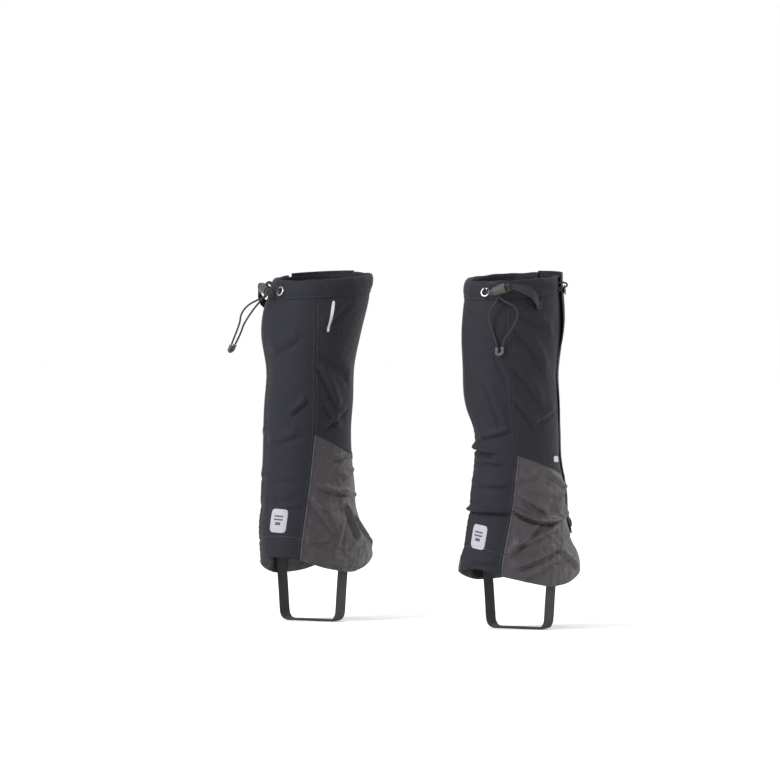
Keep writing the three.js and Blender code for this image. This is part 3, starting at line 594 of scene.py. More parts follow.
# Woven tape: ribs across the tape, each a row of small stitches.
def webbingMaterial(name, colour, pitch=0.0016, ribs=True, roughness=0.8):
    material, n, shader = newMaterial(name, roughness, sheen=0.03, specular=0.25)
    uv = n.add("ShaderNodeUVMap", uv_map="UVMap").outputs[0]
    xyz = n.add("ShaderNodeSeparateXYZ")
    n.link(uv, xyz.inputs[0])
    rib = n.math("ABSOLUTE", n.math("SINE", n.math("MULTIPLY", n.math("DIVIDE", xyz.outputs[0], pitch),
                                                   math.pi)))
    stitch = n.math("ABSOLUTE", n.math("SINE", n.math("MULTIPLY",
                                                      n.math("DIVIDE", xyz.outputs[1], pitch * 0.6),
                                                      math.pi)))
    height = n.math("ADD", n.math("MULTIPLY", rib, 1.0 if ribs else 0.5), n.math("MULTIPLY", stitch, 0.5))
    wear = useGroup(n, "wear", n.add("ShaderNodeTexCoord").outputs["Object"])
    toned(n, shader, colour, [(n.math("SUBTRACT", height, 0.8), 0.45), (wear.outputs["Broad"], 0.4),
                              (wear.outputs["Fine"], 0.4)])
    bumped(n, shader, height, 0.6, 0.0004)
    return material


# Braided cord: two sets of strands that wind opposite ways round it.
def cordMaterial(name, colour):
    material, n, shader = newMaterial(name, 0.75, sheen=0.03, specular=0.25)
    uv = n.add("ShaderNodeUVMap", uv_map="UVMap").outputs[0]
    xyz = n.add("ShaderNodeSeparateXYZ")
    n.link(uv, xyz.inputs[0])
    around = n.math("MULTIPLY", xyz.outputs[0], 4)
    along = n.math("DIVIDE", xyz.outputs[1], 0.0026)
    strands = [n.math("ABSOLUTE", n.math("SINE", n.math("MULTIPLY", n.math(kind, around, along), math.pi)))
               for kind in ("ADD", "SUBTRACT")]
    height = n.math("MAXIMUM", *strands)
    wear = useGroup(n, "wear", n.add("ShaderNodeTexCoord").outputs["Object"])
    toned(n, shader, colour, [(n.math("SUBTRACT", height, 0.8), 0.8), (wear.outputs["Fine"], 0.4)])
    bumped(n, shader, height, 0.7, 0.0003)
    return material


# Moulded or pressed parts: fine grain in the surface, handling marks in its gloss.
def hardMaterial(name, colour, roughness, metallic=0.0, grain=0.0002, coat=0.0):
    material, n, shader = newMaterial(name, roughness, metallic, coat=coat)
    wear = useGroup(n, "wear", n.add("ShaderNodeTexCoord").outputs["Object"])
    toned(n, shader, colour, [(wear.outputs["Broad"], 0.25), (wear.outputs["Fine"], 0.25)])
    bumped(n, shader, wear.outputs["Fine"], 0.3, grain)
    n.link(n.math("ADD", n.math("MULTIPLY", wear.outputs["Fine"], 0.35), roughness),
           shader.inputs["Roughness"])
    return material


# Hook or loop tape: a dense field of small tufts.
def fuzzyMaterial(name, colour, scale=2600):
    material, n, shader = newMaterial(name, 0.95, sheen=0.05, specular=0.2)
    cells = n.add("ShaderNodeTexVoronoi")
    cells.inputs["Scale"].default_value = scale
    n.link(n.add("ShaderNodeTexCoord").outputs["Object"], cells.inputs["Vector"])
    toned(n, shader, colour, [(cells.outputs["Distance"], 0.8)])
    bumped(n, shader, cells.outputs["Distance"], 0.8, 0.0006)
    return material


finish = {
    "navy": clothMaterial("rearCloth", srgb(25, 26, 33), 0.7),
    "black": clothMaterial("upperCloth", srgb(25, 24, 31), 0.65, crease=0.0032),
    "ripstop": clothMaterial("ripstopCloth", srgb(48, 43, 47), 0.5, pitch=0.0007, rip=0.0024, sheen=0.02,
                             ripTone=0.5, specular=0.4,
                             crease=0.0026, crinkle=0.0034),
    "webbing": webbingMaterial("blackWebbing", srgb(26, 26, 29)),
    "olive": webbingMaterial("tetherWebbing", srgb(36, 37, 36), pitch=0.0013),
    "strap": webbingMaterial("strapWebbing", srgb(50, 48, 52), pitch=0.0022),
    "cord": cordMaterial("braidedCord", srgb(40, 40, 42)),
    "thread": hardMaterial("sewingThread", srgb(52, 52, 57), 0.8),
    "paleThread": hardMaterial("paleThread", srgb(84, 80, 85), 0.8),
    "lock": hardMaterial("lockPlastic", srgb(48, 48, 45), 0.45),
    "clip": hardMaterial("clipPlastic", srgb(62, 62, 64), 0.45),
    "steel": hardMaterial("platedSteel", srgb(178, 178, 180), 0.32, metallic=1.0),
    "blackSteel": hardMaterial("blackCoatedSteel", srgb(38, 38, 40), 0.4, coat=0.2),
    "tape": fuzzyMaterial("closureTape", srgb(34, 34, 37)),
    "label": hardMaterial("wovenLabel", srgb(150, 149, 158), 0.6),
    "print": hardMaterial("palePrint", srgb(178, 178, 184), 0.55),
    "ink": hardMaterial("labelInk", srgb(52, 53, 60), 0.6),
}


# A piece's finish, the body that it moves with, a slot name that is not used and the CAD nodes
# that it stands for.
def give(piece, key, body, slot, *nodes):
    piece.data.materials.clear()
    piece.data.materials.append(finish[key])
    if "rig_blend" not in piece:
        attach(piece, body)
    if nodes:
        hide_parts(*nodes)
    return piece


# camera
view = {"azimuth": 215.0, "distance": 8.0, "centre": (0.0205, 0.0143, 0.2777), "height": 0.442,
        "sensor": 36.0, "width": 0.9266}
cameraData = bpy.data.cameras.new("camera")
cameraData.sensor_width = view["sensor"]
cameraData.lens = view["sensor"] * view["distance"] / view["width"]
cameraData.clip_end = 60
camera = bpy.data.objects.new("camera", cameraData)
bpy.context.scene.collection.objects.link(camera)
turn = math.radians(view["azimuth"])
camera.location = (view["centre"][0] + view["distance"] * math.sin(turn),
                   view["centre"][1] - view["distance"] * math.cos(turn), view["height"])
toCentre = [view["centre"][k] - camera.location[k] for k in range(3)]
camera.rotation_euler = (math.pi / 2 + math.atan2(toCentre[2], math.hypot(toCentre[0], toCentre[1])), 0,
                         math.atan2(-toCentre[0], toCentre[1]))
bpy.context.scene.camera = camera
print("camera placed")

# cords
cord = {"diameter": 2.2, "drop": 8, "offset": 1.3, "eyeletAngle": 7, "eyeletDrop": 14, "spread": 1.21,
        "tunnelEnd": 100}
lock = {"centre": (18.15, 62.86, 397.5), "turn": 25.128, "tilt": 17.0}
leads = {
    "a": [(-7.2, 5.6, -17.4), (-4.6, 10, -12.8), (-2, 11.3, -8.2), (0, 10.6, -4.6), (0, 7.6, -3.25),
          (0, 4.9, -3.25)],
    "b": [(-6, 3.2, -15), (-4.6, 6.8, -10.4), (-3.6, 8, -6), (-1.7, 9, -1.6), (0, 8, -0.9), (0, 6.4, -0.9),
          (0, 4.9, -0.9)],
}
strands = {
    "left": {
        "a": [(0, 0, 0), (0, -2.4, 0.4), (3, -6, 9), (10, -13, 19), (15, -23, 25), (17, -35, 27),
              (22, -60, 35)],
        "b": [(0, 0, 0), (0.3, -2.4, 0.3), (3.5, -9, 5), (9, -20, 12), (14.5, -35, 20), (17, -47, 24),
              (20, -60, 29.5)],
    },
    "right": {
        "a": [(0, 0, 0), (0, -3.6, 0), (-3, -9, 0.6), (-7.4, -15, 1.2), (-9.2, -25, 1.4), (-6.6, -39, 1.2),
              (-1.6, -53, 1), (-0.4, -60, 1)],
        "b": [(0, 0, 0), (0.3, -3, 0), (7, -7.6, 1.2), (18.6, -14, 2.4), (21.5, -24, 2.6), (15.5, -38, 2),
              (5.4, -53, 1.4), (3.6, -60, 1)],
    },
}
strandStarts = {"a": (0, -5.6, -3.4), "b": (0, -5.6, -0.9)}

lockTurn = math.radians(lock["turn"])
outLevel = np.array([math.sin(lockTurn), math.cos(lockTurn), 0])
forwardLevel = np.array([math.cos(lockTurn), -math.sin(lockTurn), 0])
tilted = math.radians(lock["tilt"])
lockForward = forwardLevel * math.cos(tilted) + np.array([0, 0, math.sin(tilted)])
lockUp = -forwardLevel * math.sin(tilted) + np.array([0, 0, math.cos(tilted)])


def inLock(point):
    return np.array(lock["centre"]) + outLevel * point[0] + lockUp * point[1] + lockForward * point[2]


def inTunnel(side, angle, drop=None, offset=None):
    drop = cord["drop"] if drop is None else drop
    offset = cord["offset"] if offset is None else offset
    return shell(side, angle, topEdge(angle) - drop, offset, wrinkled=False)


def strandPoints(side, key):
    start = inLock(strandStarts[key])
    return [start + forwardLevel * ahead + outLevel * out + np.array([0, 0, up])
            for ahead, up, out in strands[side][key]]


def makeCords(side):
    eyelet = lambda turn, offset: inTunnel(side, cord["eyeletAngle"] + turn, cord["eyeletDrop"], offset)
    sweep = lambda low, high: [inTunnel(side, angle)
                               for angle in np.linspace(low, high, int((high - low) / 12) + 2)]
    mouthA = [eyelet(-cord["spread"], offset) for offset in (2.1, 6.1)]
    mouthB = [eyelet(cord["spread"], offset) for offset in (2.1, 6.1)]
    end = cord["tunnelEnd"]
    inner = sweep(-174.4, -6) + [inTunnel(side, 0, 11)] + mouthA + [inLock(p) for p in leads["a"]]
    loop = [(end + 1.6, 8, 2.3), (end + 3.6, 7.6, 7), (end + 3.8, 9, 12), (end + 3.2, 12, 12.6),
            (end + 3, 13.6, 8), (end + 1.8, 14, 2.6), (end - 0.5, 14, 1.7)]
    outer = [inLock(p) for p in leads["b"]][::-1] + mouthB[::-1] + [inTunnel(side, 14, 11)]
    outer += sweep(20, end - 0.5)
    outer += [inTunnel(side, *p) for p in loop]
    outer += [inTunnel(side, end - 4, 14), inTunnel(side, end - 12, 14)]
    for name, points in (("drawcord_inner_run", inner), ("drawcord_outer_run", outer)):
        piece, _, _ = tubePiece(f"{side}DrawcordInner" if "inner" in name else f"{side}DrawcordOuter",
                                side, points,
                                cord["diameter"] / 2)
        give(piece, "cord", root, "cord", f"{side}_{name}")
    ends, made = {}, {}
    for key in ("a", "b"):
        points = strandPoints(side, key)
        piece, path, length = tubePiece(f"{side}CordEnd{key.upper()}", side, points, cord["diameter"] / 2)
        give(piece, "cord", f"{side}_cord_pull", "cord", f"{side}_cord_end_{key}")
        made[key] = (piece, path, length)
        ends[key] = path
    clipPiece = makeClip(side)


clipForm = {"radius": 2.2, "legs": 6.5, "gap": 0.3}


# The cord-end clip: a U of round section whose two mouths, each with a raised lip, take the
# strands' ends.
def makeClip(side):
    mouths, downs = [], []
    for key in ("a", "b"):
        path, _ = smoothPath(strandPoints(side, key), 0.6)
        down = path[-1] - path[-4]
        down /= np.linalg.norm(down)
        mouths.append(path[-1] + down * clipForm["gap"])
        downs.append(down)
    down = (downs[0] + downs[1]) / np.linalg.norm(downs[0] + downs[1])
    middle = (mouths[0] + mouths[1]) / 2 + down * (clipForm["legs"] + clipForm["radius"])
    points = [mouths[0], mouths[0] + down * clipForm["legs"] / 2, mouths[0] + down * clipForm["legs"],
              middle,
              mouths[1] + down * clipForm["legs"], mouths[1] + down * clipForm["legs"] / 2, mouths[1]]
    lips = lambda t: 1 + 0.16 * (np.exp(-((t - 0.05) / 0.035) ** 2) + np.exp(-((t - 0.95) / 0.035) ** 2)) \
        - 0.08 * np.exp(-((t - 0.5) / 0.12) ** 2)
    piece, _, _ = tubePiece(f"{side}CordClip", side, points, clipForm["radius"] * 0.93, step=0.35,
                            rings=24, taper=lips)
    return give(piece, "clip", f"{side}_cord_pull", "clip_plastic", f"{side}_cord_clip")


for side in sides:
    makeCords(side)
print("cords laid")

# shell panels
panel = {"step": 1.6, "wall": 0.8, "seamGap": 0.04, "tape": 6.0}


# Area of one layer of a cloth piece in square metres, before its wall is added.
def meshArea(piece):
    mesh = piece.data
    area = np.zeros(len(mesh.polygons))
    mesh.polygons.foreach_get("area", area)
    return float(area.sum())


def declareSheet(piece, angles, low, high):
    angle = np.linspace(*angles, 200)
    tall = float(np.mean((high(angle) if callable(high) else high)
                         - (low(angle) if callable(low) else low))) * mm
    area = meshArea(piece)


def makePanels(side):
    gap = panel["seamGap"]
    top = lambda angle: topEdge(angle) - 2.2
    hemAt = lambda angle: hemLine(side, angle)
    above = lambda angle: kneeSeam(side, angle)
    below = lambda angle: kneeSeam(side, angle)
    seams = {sign: (lambda z, sign=sign: sign * seamAngle(side, sign, z)) for sign in (-1, 1)}
    widest = lambda sign: sign * (float(np.max(worn[side]["seam"][1])) if sign == worn[side]["seamSide"]
                                  else edges["rearSeam"])
    shin = {1: edges["shinEdge"], -1: edges["shinEdge"] - 360 + 0.5}
    names = {1: ("Outer", "outer"), -1: ("Inner", "inner")}
    rear = clothSheet(f"{side}RearPanel", side, (widest(-1), widest(1)), hemAt, top, panel["step"],
                      wall=panel["wall"],
                      edge=(lambda z: seams[-1](z), lambda z: seams[1](z)))
    give(rear, "navy", root, "rear_cloth", f"{side}_rear_panel")
    declareSheet(rear, (widest(-1), widest(1)), hemAt, top)
    for sign in (1, -1):
        for part, low, high, key, slot in (("Upper", above, top, "black", "upper_cloth"),
                                           ("Lower", hemAt, below, "ripstop", "ripstop")):
            near = lambda z, sign=sign: seams[sign](z) + sign * gap
            far = lambda z, sign=sign: np.full_like(z, shin[sign])
            span = (edges["rearSeam"], shin[1]) if sign > 0 else (shin[-1], -edges["rearSeam"])
            ends = (near, far) if sign > 0 else (far, near)
            piece = clothSheet(f"{side}{names[sign][0]}{part}Panel", side, span, low, high, panel["step"],
                               wall=panel["wall"], edge=ends)
            give(piece, key, root, slot, f"{side}_{names[sign][1]}_{part.lower()}_panel")
            declareSheet(piece, span, low, high)
        tape = clothSheet(f"{side}{names[sign][0]}SeamTape", side, (30, 42) if sign > 0 else (-42, -30),
                          lambda angle: hemAt(angle) + 4, 392, 2.5, offset=-1.0, wall=0.3,
                          edge=(lambda z, sign=sign: seams[sign](z) - panel["tape"],
                                lambda z, sign=sign: seams[sign](z) + panel["tape"]))
        give(tape, "webbing", root, "binding")


hem = {"inner": 3.0, "outer": 3.0, "depth": 22, "gathers": 0.7, "wall": 0.6, "eyeletPad": 1.25}


# The drawcord tunnel: a folded section (inner leg, rounded top, outer leg, tuck) carried round
# the top edge, with gathers that grow towards the eyelet and the ends.
def makeTopHem(side):
    inner, outer, depth = -hem["inner"], hem["outer"], hem["depth"]
    section = [(inner, -depth), (inner, -depth * 0.6), (inner, -4.5), (inner + 0.7, -1.6),
               (inner + 2, -0.3), (0.1, 0),
               (1.5, -0.5), (outer - 1, -1.9), (outer - 0.2, -4.5), (outer, -8), (outer - 0.2, -12),
               (outer - 0.9, -15.6),
               (1.3, -18.4), (0.75, -20), (0.95, -21.3), (0.6, -22), (0.1, -21.6)]
    knots = np.arange(len(section))
    profile = cubicThrough(knots, np.array(section), np.linspace(0, knots[-1], 56))
    angle = np.linspace(-176.4, cord["tunnelEnd"], 420)
    around = np.radians(angle) * cloth["radius"]
    outward, h = profile[:, 0][None, :], profile[:, 1][None, :]
    frontEnd = 0.5 * np.exp(-((angle - 96) / 10) ** 2)
    close = 0.55 + 0.8 * np.exp(-((angle - cord["eyeletAngle"]) / 16) ** 2) + frontEnd
    beside = np.exp(-((angle - cord["eyeletAngle"]) / 8) ** 4)[:, None]
    wave = np.sin(around / 1.9 + 2.2 * np.sin(around / 9)) + 0.6 * np.sin(around / 4.3 + 1.1)
    outside = np.clip((outward - 0.5) / 3.5, 0, 1)
    swell = 0.35 + 0.65 * np.sin(np.pi * np.clip(-h / depth, 0, 1))
    puff = hem["gathers"] * 0.5 * (close * wave)[:, None] * outside * swell
    pad = hem["eyeletPad"] * beside * np.exp(-((h + cord["eyeletDrop"]) / 5.5) ** 4) * outside
    seat = beside * np.exp(-((h + cord["eyeletDrop"]) / 7) ** 4)
    puff = puff * (1 - seat)
    level = np.maximum(outer + 0.1 - outward, 0) * np.exp(-((h + 14) / 4.5) ** 4) * outside
    pad = pad + level * beside
    sag = (0.5 * np.sin(around / 7.3) + 0.4 * np.sin(around / 3.7 + 2))[:, None] * np.exp(-(h / 5) ** 2)
    grid = shell(side, angle[:, None], (topEdge(angle))[:, None] + h + sag * 0.6, outward + puff + pad,
                 wrinkled=False)
    points = placed(side, grid)
    uvs = np.stack(np.broadcast_arrays(around[:, None] * mm, h * mm), axis=-1).reshape(-1, 2)
    piece = makeMesh(f"{side}TopHem", points, gridFaces(len(angle), len(profile), flip=sides[side] > 0),
                     uvs)
    addWall(piece, hem["wall"])
    give(piece, "black", root, "binding", f"{side}_top_hem")
    piece.data.materials.append(finish["navy"])
    middle = (angle[:-1] + angle[1:]) / 2
    index = np.repeat((np.abs(middle) < edges["rearSeam"]).astype(np.int32), len(profile) - 1)
    piece.data.polygons.foreach_set("material_index", index)
    return piece


for side in sides:
    makePanels(side)
    makeTopHem(side)
print("shells sewn")

# front flap and its tapes
flap = {"edgeTop": 108.5, "edgeBottom": 138, "hinge": 180, "sewn": 185, "low": 111, "rise": 1.8,
        "offset": 4.2, "wall": 1.2}


def flapEdge(z):
    share = np.clip((z - flap["low"]) / (edges["top"] - flap["low"]), 0, 1) ** 0.7
    return flap["edgeBottom"] + (flap["edgeTop"] - flap["edgeBottom"]) * share


def makeFlap(side):
    def lift(angle, z):
        beside = np.clip((flap["hinge"] + 1 - angle) / 14, 0, 1)
        taped = np.maximum(beside * np.clip((angle - 132) / 9, 0, 1),
                           np.clip((z - 318) / 50, 0, 1) * beside)
        curl = 0.5 * np.exp(-((angle - flapEdge(z)) / 4) ** 2) * np.sin(z / 13)
        sewn = np.clip((angle - 176) / 7, 0, 1)
        return 1.5 + (flap["offset"] - 1.5) * taped ** 2 * (3 - 2 * taped) + curl - 0.75 * sewn

    top = lambda angle: topEdge(angle) + flap["rise"]
    piece = clothSheet(f"{side}FrontFlap", side, (flap["edgeTop"], flap["sewn"]), flap["low"], top, 1.8,
                       offset=lift, wall=flap["wall"],
                       edge=(flapEdge, lambda z: np.full_like(z, flap["sewn"])))
    x = sides[side] * legSpacing / 2 * mm
    s = sides[side] * mm
    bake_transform(piece, root, f"{side}_flap", start=(x - 13 * s, -0.075, 0.3), end=(x + 12 * s, -0.075, 0.3))
    give(piece, "black", None, "upper_cloth", f"{side}_front_flap")
    declareSheet(piece, (flap["edgeTop"], flap["sewn"]), flap["low"], top)
    tapes = [("LoopTape", "loop_strip", 1.15, root), ("HookTape", "hook_strip", 2.4, f"{side}_flap")]
    for name, node, offset, body in tapes:
        tape = clothSheet(f"{side}{name}", side, (142, 162), 136, lambda angle: topEdge(angle) - 3, 1.8,
                          offset=offset, wall=0.8)
        give(tape, "tape", body, "closure_tape", f"{side}_{node}")


# A place on the cloth and its outward direction, from the slopes round the leg and up it.
def axesOn(side, angle, z, lift=0.0, wrinkled=True):
    place = shell(side, angle, z, lift, wrinkled)
    along = shell(side, angle + 2.5, z, lift, wrinkled) - shell(side, angle - 2.5, z, lift, wrinkled)
    rise = shell(side, angle, z + 2.5, lift, wrinkled) - shell(side, angle, z - 2.5, lift, wrinkled)
    out = np.cross(rise, along)
    return place.reshape(3), (out / np.linalg.norm(out)).reshape(3)


snapForm = {"places": {"top": (119, 397), "bottom": (152, 122)}, "radius": 6.0, "rise": 5.5}


# Press studs: a domed cap with a rolled rim on the flap, and its stud on the shell under it.
def makeSnaps(side):
    r = snapForm["radius"]
    cap = [(0, 1.75), (r * 0.3, 1.72), (r * 0.55, 1.55), (r * 0.68, 1.3), (r * 0.74, 1.18),
           (r * 0.82, 1.3), (r * 0.93, 1.2),
           (r, 0.75), (r, 0.35), (r * 0.95, 0.05), (r * 0.6, 0), (3.6, 0), (3.6, -2.8), (2.7, -2.8),
           (2.7, -0.4), (0, -0.4)]
    stud = [(0, 0.05), (r - 1, 0.05), (r - 1, 0.5), (r - 1.6, 0.8), (2.3, 0.9), (2.0, 1.2), (2.25, 1.7),
            (2.1, 2.2), (1.4, 2.4),
            (0, 2.4)]
    for name, (angle, z) in snapForm["places"].items():
        place, out = axesOn(side, angle, z, wrinkled=False)
        piece = turnedPiece(f"{side}{name.title()}SnapCap", side, cap, place + out * snapForm["rise"],
                            out, 36)
        give(piece, "lock", f"{side}_flap", "lock_plastic", f"{side}_{name}_snap_cap")
        base = turnedPiece(f"{side}{name.title()}SnapStud", side, stud[::-1], place, out, 36)
        give(base, "steel", root, "hook_metal", f"{side}_{name}_snap_stud")


eyeletForm = {"bore": 3.4, "flange": 5.7, "seat": 4.55}


# The drawcord eyelet: a rolled flange with a soft inner lip that goes through the tunnel's outer
# wall.
def makeEyelet(side):
    bore, flange = eyeletForm["bore"], eyeletForm["flange"]
    middle, half = (bore + flange) / 2, (flange - bore) / 2
    turn = np.linspace(-0.15 * math.pi, 1.0 * math.pi, 12)
    profile = [(middle + half * math.cos(t), 0.1 + 0.95 * math.sin(t)) for t in turn]
    profile += [(bore, -0.8), (bore, -1.7), (bore + 0.5, -1.7), (bore + 0.5, -0.2), (flange - 0.3, -0.2)]
    profile.append(profile[0])
    place, out = axesOn(side, cord["eyeletAngle"], float(topEdge(cord["eyeletAngle"]))
                        - cord["eyeletDrop"], wrinkled=False)
    piece = turnedPiece(f"{side}Eyelet", side, profile, place + out * eyeletForm["seat"], out, 48)
    give(piece, "steel", root, "eyelet_metal", f"{side}_drawcord_eyelet")


spring = {"coil": 3.2, "wire": 0.3, "low": 1.4, "high": 5.4, "turns": 3, "pressed": 0.48}


def makeSpring(side):
    turn = np.linspace(0, 2 * math.pi * spring["turns"], 60)
    height = np.linspace(spring["low"], spring["high"], 60)
    coil = spring["coil"]
    helix = [inLock((coil * math.cos(a), coil * math.sin(a), h)) for a, h in zip(turn, height)]
    piece, _, _ = tubePiece(f"{side}LockSpring", side, helix, spring["wire"], step=0.3, rings=10)
    give(piece, "steel", root, "spring_steel", f"{side}_cord_lock_spring")
    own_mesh(piece)


for side in sides:
    makeFlap(side)
    makeSnaps(side)
    makeEyelet(side)
    makeSpring(side)
    for name, key in (("cord_lock_barrel", "lock"), ("cord_lock_plunger", "lock"),
                      ("lace_hook", "blackSteel")):
        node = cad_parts[f"{side}_{name}"]
        node.data.materials.clear()
        node.data.materials.append(finish[key])
print("flaps and hardware done")

# tapes, straps and trim
tether = {"loopCentre": 12.4, "inner": 2.0, "wall": 1.2, "narrow": 5.0, "width": 10, "thickness": 1.6}


# A flat woven tape: a rounded flat section, wide along up and thin along out, carried along a
# path.
def tapePiece(name, side, path, firstOut, widths, thickness):
    tangent = np.gradient(path, axis=0)
    tangent /= np.linalg.norm(tangent, axis=1, keepdims=True)
    up = firstOut - tangent * np.sum(firstOut * tangent, axis=1, keepdims=True)
    up /= np.linalg.norm(up, axis=1, keepdims=True)
    out = np.cross(tangent, up)
    turn = np.linspace(0, 2 * math.pi, 28, endpoint=False)
    flat = np.sign(np.cos(turn)) * np.abs(np.cos(turn)) ** 0.35
    thin = np.sign(np.sin(turn)) * np.abs(np.sin(turn)) ** 0.55
    grid = path[:, None] + up[:, None] * (flat[None, :] * widths[:, None] / 2)[..., None] \
        + out[:, None] * (thin * thickness / 2)[None, :, None]
    run = np.concatenate([[0], np.cumsum(np.linalg.norm(np.diff(path, axis=0), axis=1))])
    uvs = np.stack(np.broadcast_arrays(flat[None, :] * widths[:, None] / 2 * mm, run[:, None] * mm),
                   axis=-1).reshape(-1, 2)
    faces = [list(f) for f in gridFaces(len(path), len(turn), wrap=True)]
    last = (len(path) - 1) * len(turn)
    faces += [list(range(len(turn)))[::-1], list(range(last, last + len(turn)))]
    piece = makeMesh(name, placed(side, grid), faces, uvs)
    tidyNormals(piece)
    return piece


# The tether: round the bail, then an arch that widens, twists a little and comes down to its sewn
# end.
def makeTether(side):
    centre = tether["loopCentre"]
    ring = tether["inner"] + tether["wall"] / 2
    low = lambda angle, z, offset: shell(side, angle, z, offset, wrinkled=False)
    arch = [inLock((0.4, 0, centre + ring + 0.4)), low(45, 399, 16), low(54, 394, 14.5), low(61, 386, 8.5),
            low(66.5, 380, 2.6), low(71, 380, 1.9)]
    around = [inLock((ring * math.cos(t), 0, centre + ring * math.sin(t)))
              for t in np.linspace(0.9, -3.9, 10)]
    path, _ = smoothPath(arch, 0.8)
    share = np.linspace(0, 1, len(path))
    widths = tether["narrow"] + (tether["width"] - tether["narrow"]) * np.clip(share * 3.2, 0, 1) ** 0.8
    upright = np.tile([0.0, 0.0, 1.0], (len(path), 1))
    piece = tapePiece(f"{side}TetherTab", side, path, upright, widths, tether["thickness"])
    give(piece, "olive", root, "webbing", f"{side}_tether_tab")
    ringPath, _ = smoothPath(around, 0.5)
    eye = tapePiece(f"{side}TetherEye", side, ringPath, np.tile(lockUp, (len(ringPath), 1)),
                    np.full(len(ringPath), tether["narrow"]), tether["wall"])
    give(eye, "olive", root, "webbing")


strap = {"width": 20, "thickness": 2.0, "y": -8, "top": 80, "pivot": 62, "topHalf": 45.9, "soleHalf": 42}


# The instep strap: a U of flat webbing, slightly slack, from inside the hem down under the boot.
def makeStrap(side):
    half, sole, t = strap["topHalf"] - 1, strap["soleHalf"] - 1, strap["thickness"] / 2
    right = [(half, strap["top"]), (half, 70), (half, strap["pivot"]), (half - 1.3, 46), (sole + 1.2, 28),
             (sole + 0.2, 14), (sole - 0.9, 7.4), (sole - 4.2, 2.6), (sole - 9, t), (sole - 18, t), (0, t)]
    points = [(x, strap["y"], z) for x, z in right] + [(-x, strap["y"], z) for x, z in right[-2::-1]]
    path, _ = smoothPath(points, 1.2)
    wide = np.tile([0.0, 1.0, 0.0], (len(path), 1))
    piece = tapePiece(f"{side}InstepStrap", side, path, wide, np.full(len(path), strap["width"] - 0.4),
                      strap["thickness"])
    give(piece, "strap", f"{side}_strap", "strap_webbing", f"{side}_instep_strap")


elastic = {"reach": (-90, 90), "low": 134, "high": 146, "offset": -2.6, "ribs": 0.35, "ribPitch": 0.9,
           "wall": 0.9}


def makeTrim(side):
    for name, node, angles in (("OuterStrapAnchor", "outer_strap_anchor", (86, 102)),
                               ("InnerStrapAnchor", "inner_strap_anchor", (-102, -86))):
        low = lambda angle: np.maximum(hemLine(side, angle) + 3, 58)
        patch = clothSheet(f"{side}{name}", side, angles, low, 90, 1.5, offset=-1.8, wall=0.8)
        give(patch, "webbing", root, "webbing", f"{side}_{node}")
    band = clothSheet(f"{side}AnkleElastic", side, elastic["reach"], elastic["low"], elastic["high"], 1.2,
                      offset=lambda angle, z: elastic["offset"] + elastic["ribs"]
                      * np.sin(np.radians(angle) * cloth["radius"] / elastic["ribPitch"]),
                      wall=elastic["wall"])
    give(band, "webbing", root, "elastic", f"{side}_ankle_elastic")


label = {"half": 13.0, "tall": 14.0, "left": (-8, 122, 3), "right": (-3.5, 110, 7)}


# The heel label: a disc grid pressed out to a rounded rectangle, laid on the rear panel, with
# plain bars.
def makeLabel(side):
    radius, turns = np.linspace(0, 1, 26), np.linspace(0, 2 * math.pi, 96, endpoint=False)
    centre, height, tilt = label[side]
    tilt = math.radians(tilt) * sides[side]
    c, s = np.cos(turns), np.sin(turns)
    power = 6.0
    scale = (np.abs(c) ** power + np.abs(s) ** power) ** (-1 / power)
    u = radius[:, None] * (c * scale)[None, :] * label["half"]
    v = radius[:, None] * (s * scale)[None, :] * label["tall"]

    def onPanel(u, v, lift):
        across = u * math.cos(tilt) - v * math.sin(tilt)
        up = u * math.sin(tilt) + v * math.cos(tilt)
        return shell(side, centre + np.degrees(across / 62), height + up, lift)

    rim = 0.95 - 0.55 * radius[:, None] ** 12
    piece = makeMesh(f"{side}HeelLabel", placed(side, onPanel(u, v, rim)),
                     gridFaces(len(radius), len(turns), wrap=True),
                     np.stack([u, v], -1).reshape(-1, 2) * mm)
    tidyOpen(piece, outward=(0, 1, 0))
    give(piece, "label", root, "label", f"{side}_heel_label")
    for k, (low, high, wide) in enumerate(((4.6, 6.4, 7.0), (0.6, 2.4, 7.0), (-5.0, -1.6, 4.2))):
        across, up = np.meshgrid(np.linspace(-wide, wide, 20), np.linspace(low, high, 5))
        bar = makeMesh(f"{side}LabelBar{k + 1}", placed(side, onPanel(across, up, 1.08)), gridFaces(5, 20))
        tidyOpen(bar, outward=(0, 1, 0))
        give(bar, "ink", root, "label")


# Doubles merged and an open sheet turned to face one way.
def tidyOpen(piece, outward):
    work = bmesh.new()
    work.from_mesh(piece.data)
    bmesh.ops.remove_doubles(work, verts=work.verts, dist=1e-7)
    bmesh.ops.recalc_face_normals(work, faces=work.faces)
    work.normal_update()
    total = sum((face.normal * face.calc_area() for face in work.faces), work.faces[:][0].normal * 0)
    if total.dot(Vector(outward)) < 0:
        bmesh.ops.reverse_faces(work, faces=work.faces)
    work.to_mesh(piece.data)
    work.free()


hookTab = {"bar": (-105.05, 87.5), "reach": 1.75 + 0.7, "width": 8.0, "thickness": 1.3}


# The lace hook's tab: webbing down the front hem that loops round the hook's bar.
def makeHookTab(side):
    y, z = hookTab["bar"]
    ring = hookTab["reach"]
    path = [(0, -85.9, 110), (0, -92.6, 101), (0, -97.6, 93.6), (0, -101.4, 91.2)]
    path += [(0, y - ring * math.sin(t), z + ring * math.cos(t)) for t in np.linspace(0.2, 5.4, 10)]
    line, _ = smoothPath(path, 0.5)
    sideways = np.tile([1.0, 0.0, 0.0], (len(line), 1))
    piece = tapePiece(f"{side}LaceHookTab", side, line, sideways, np.full(len(line), hookTab["width"]),
                      hookTab["thickness"])
    give(piece, "webbing", root, "webbing", f"{side}_lace_hook_tab")


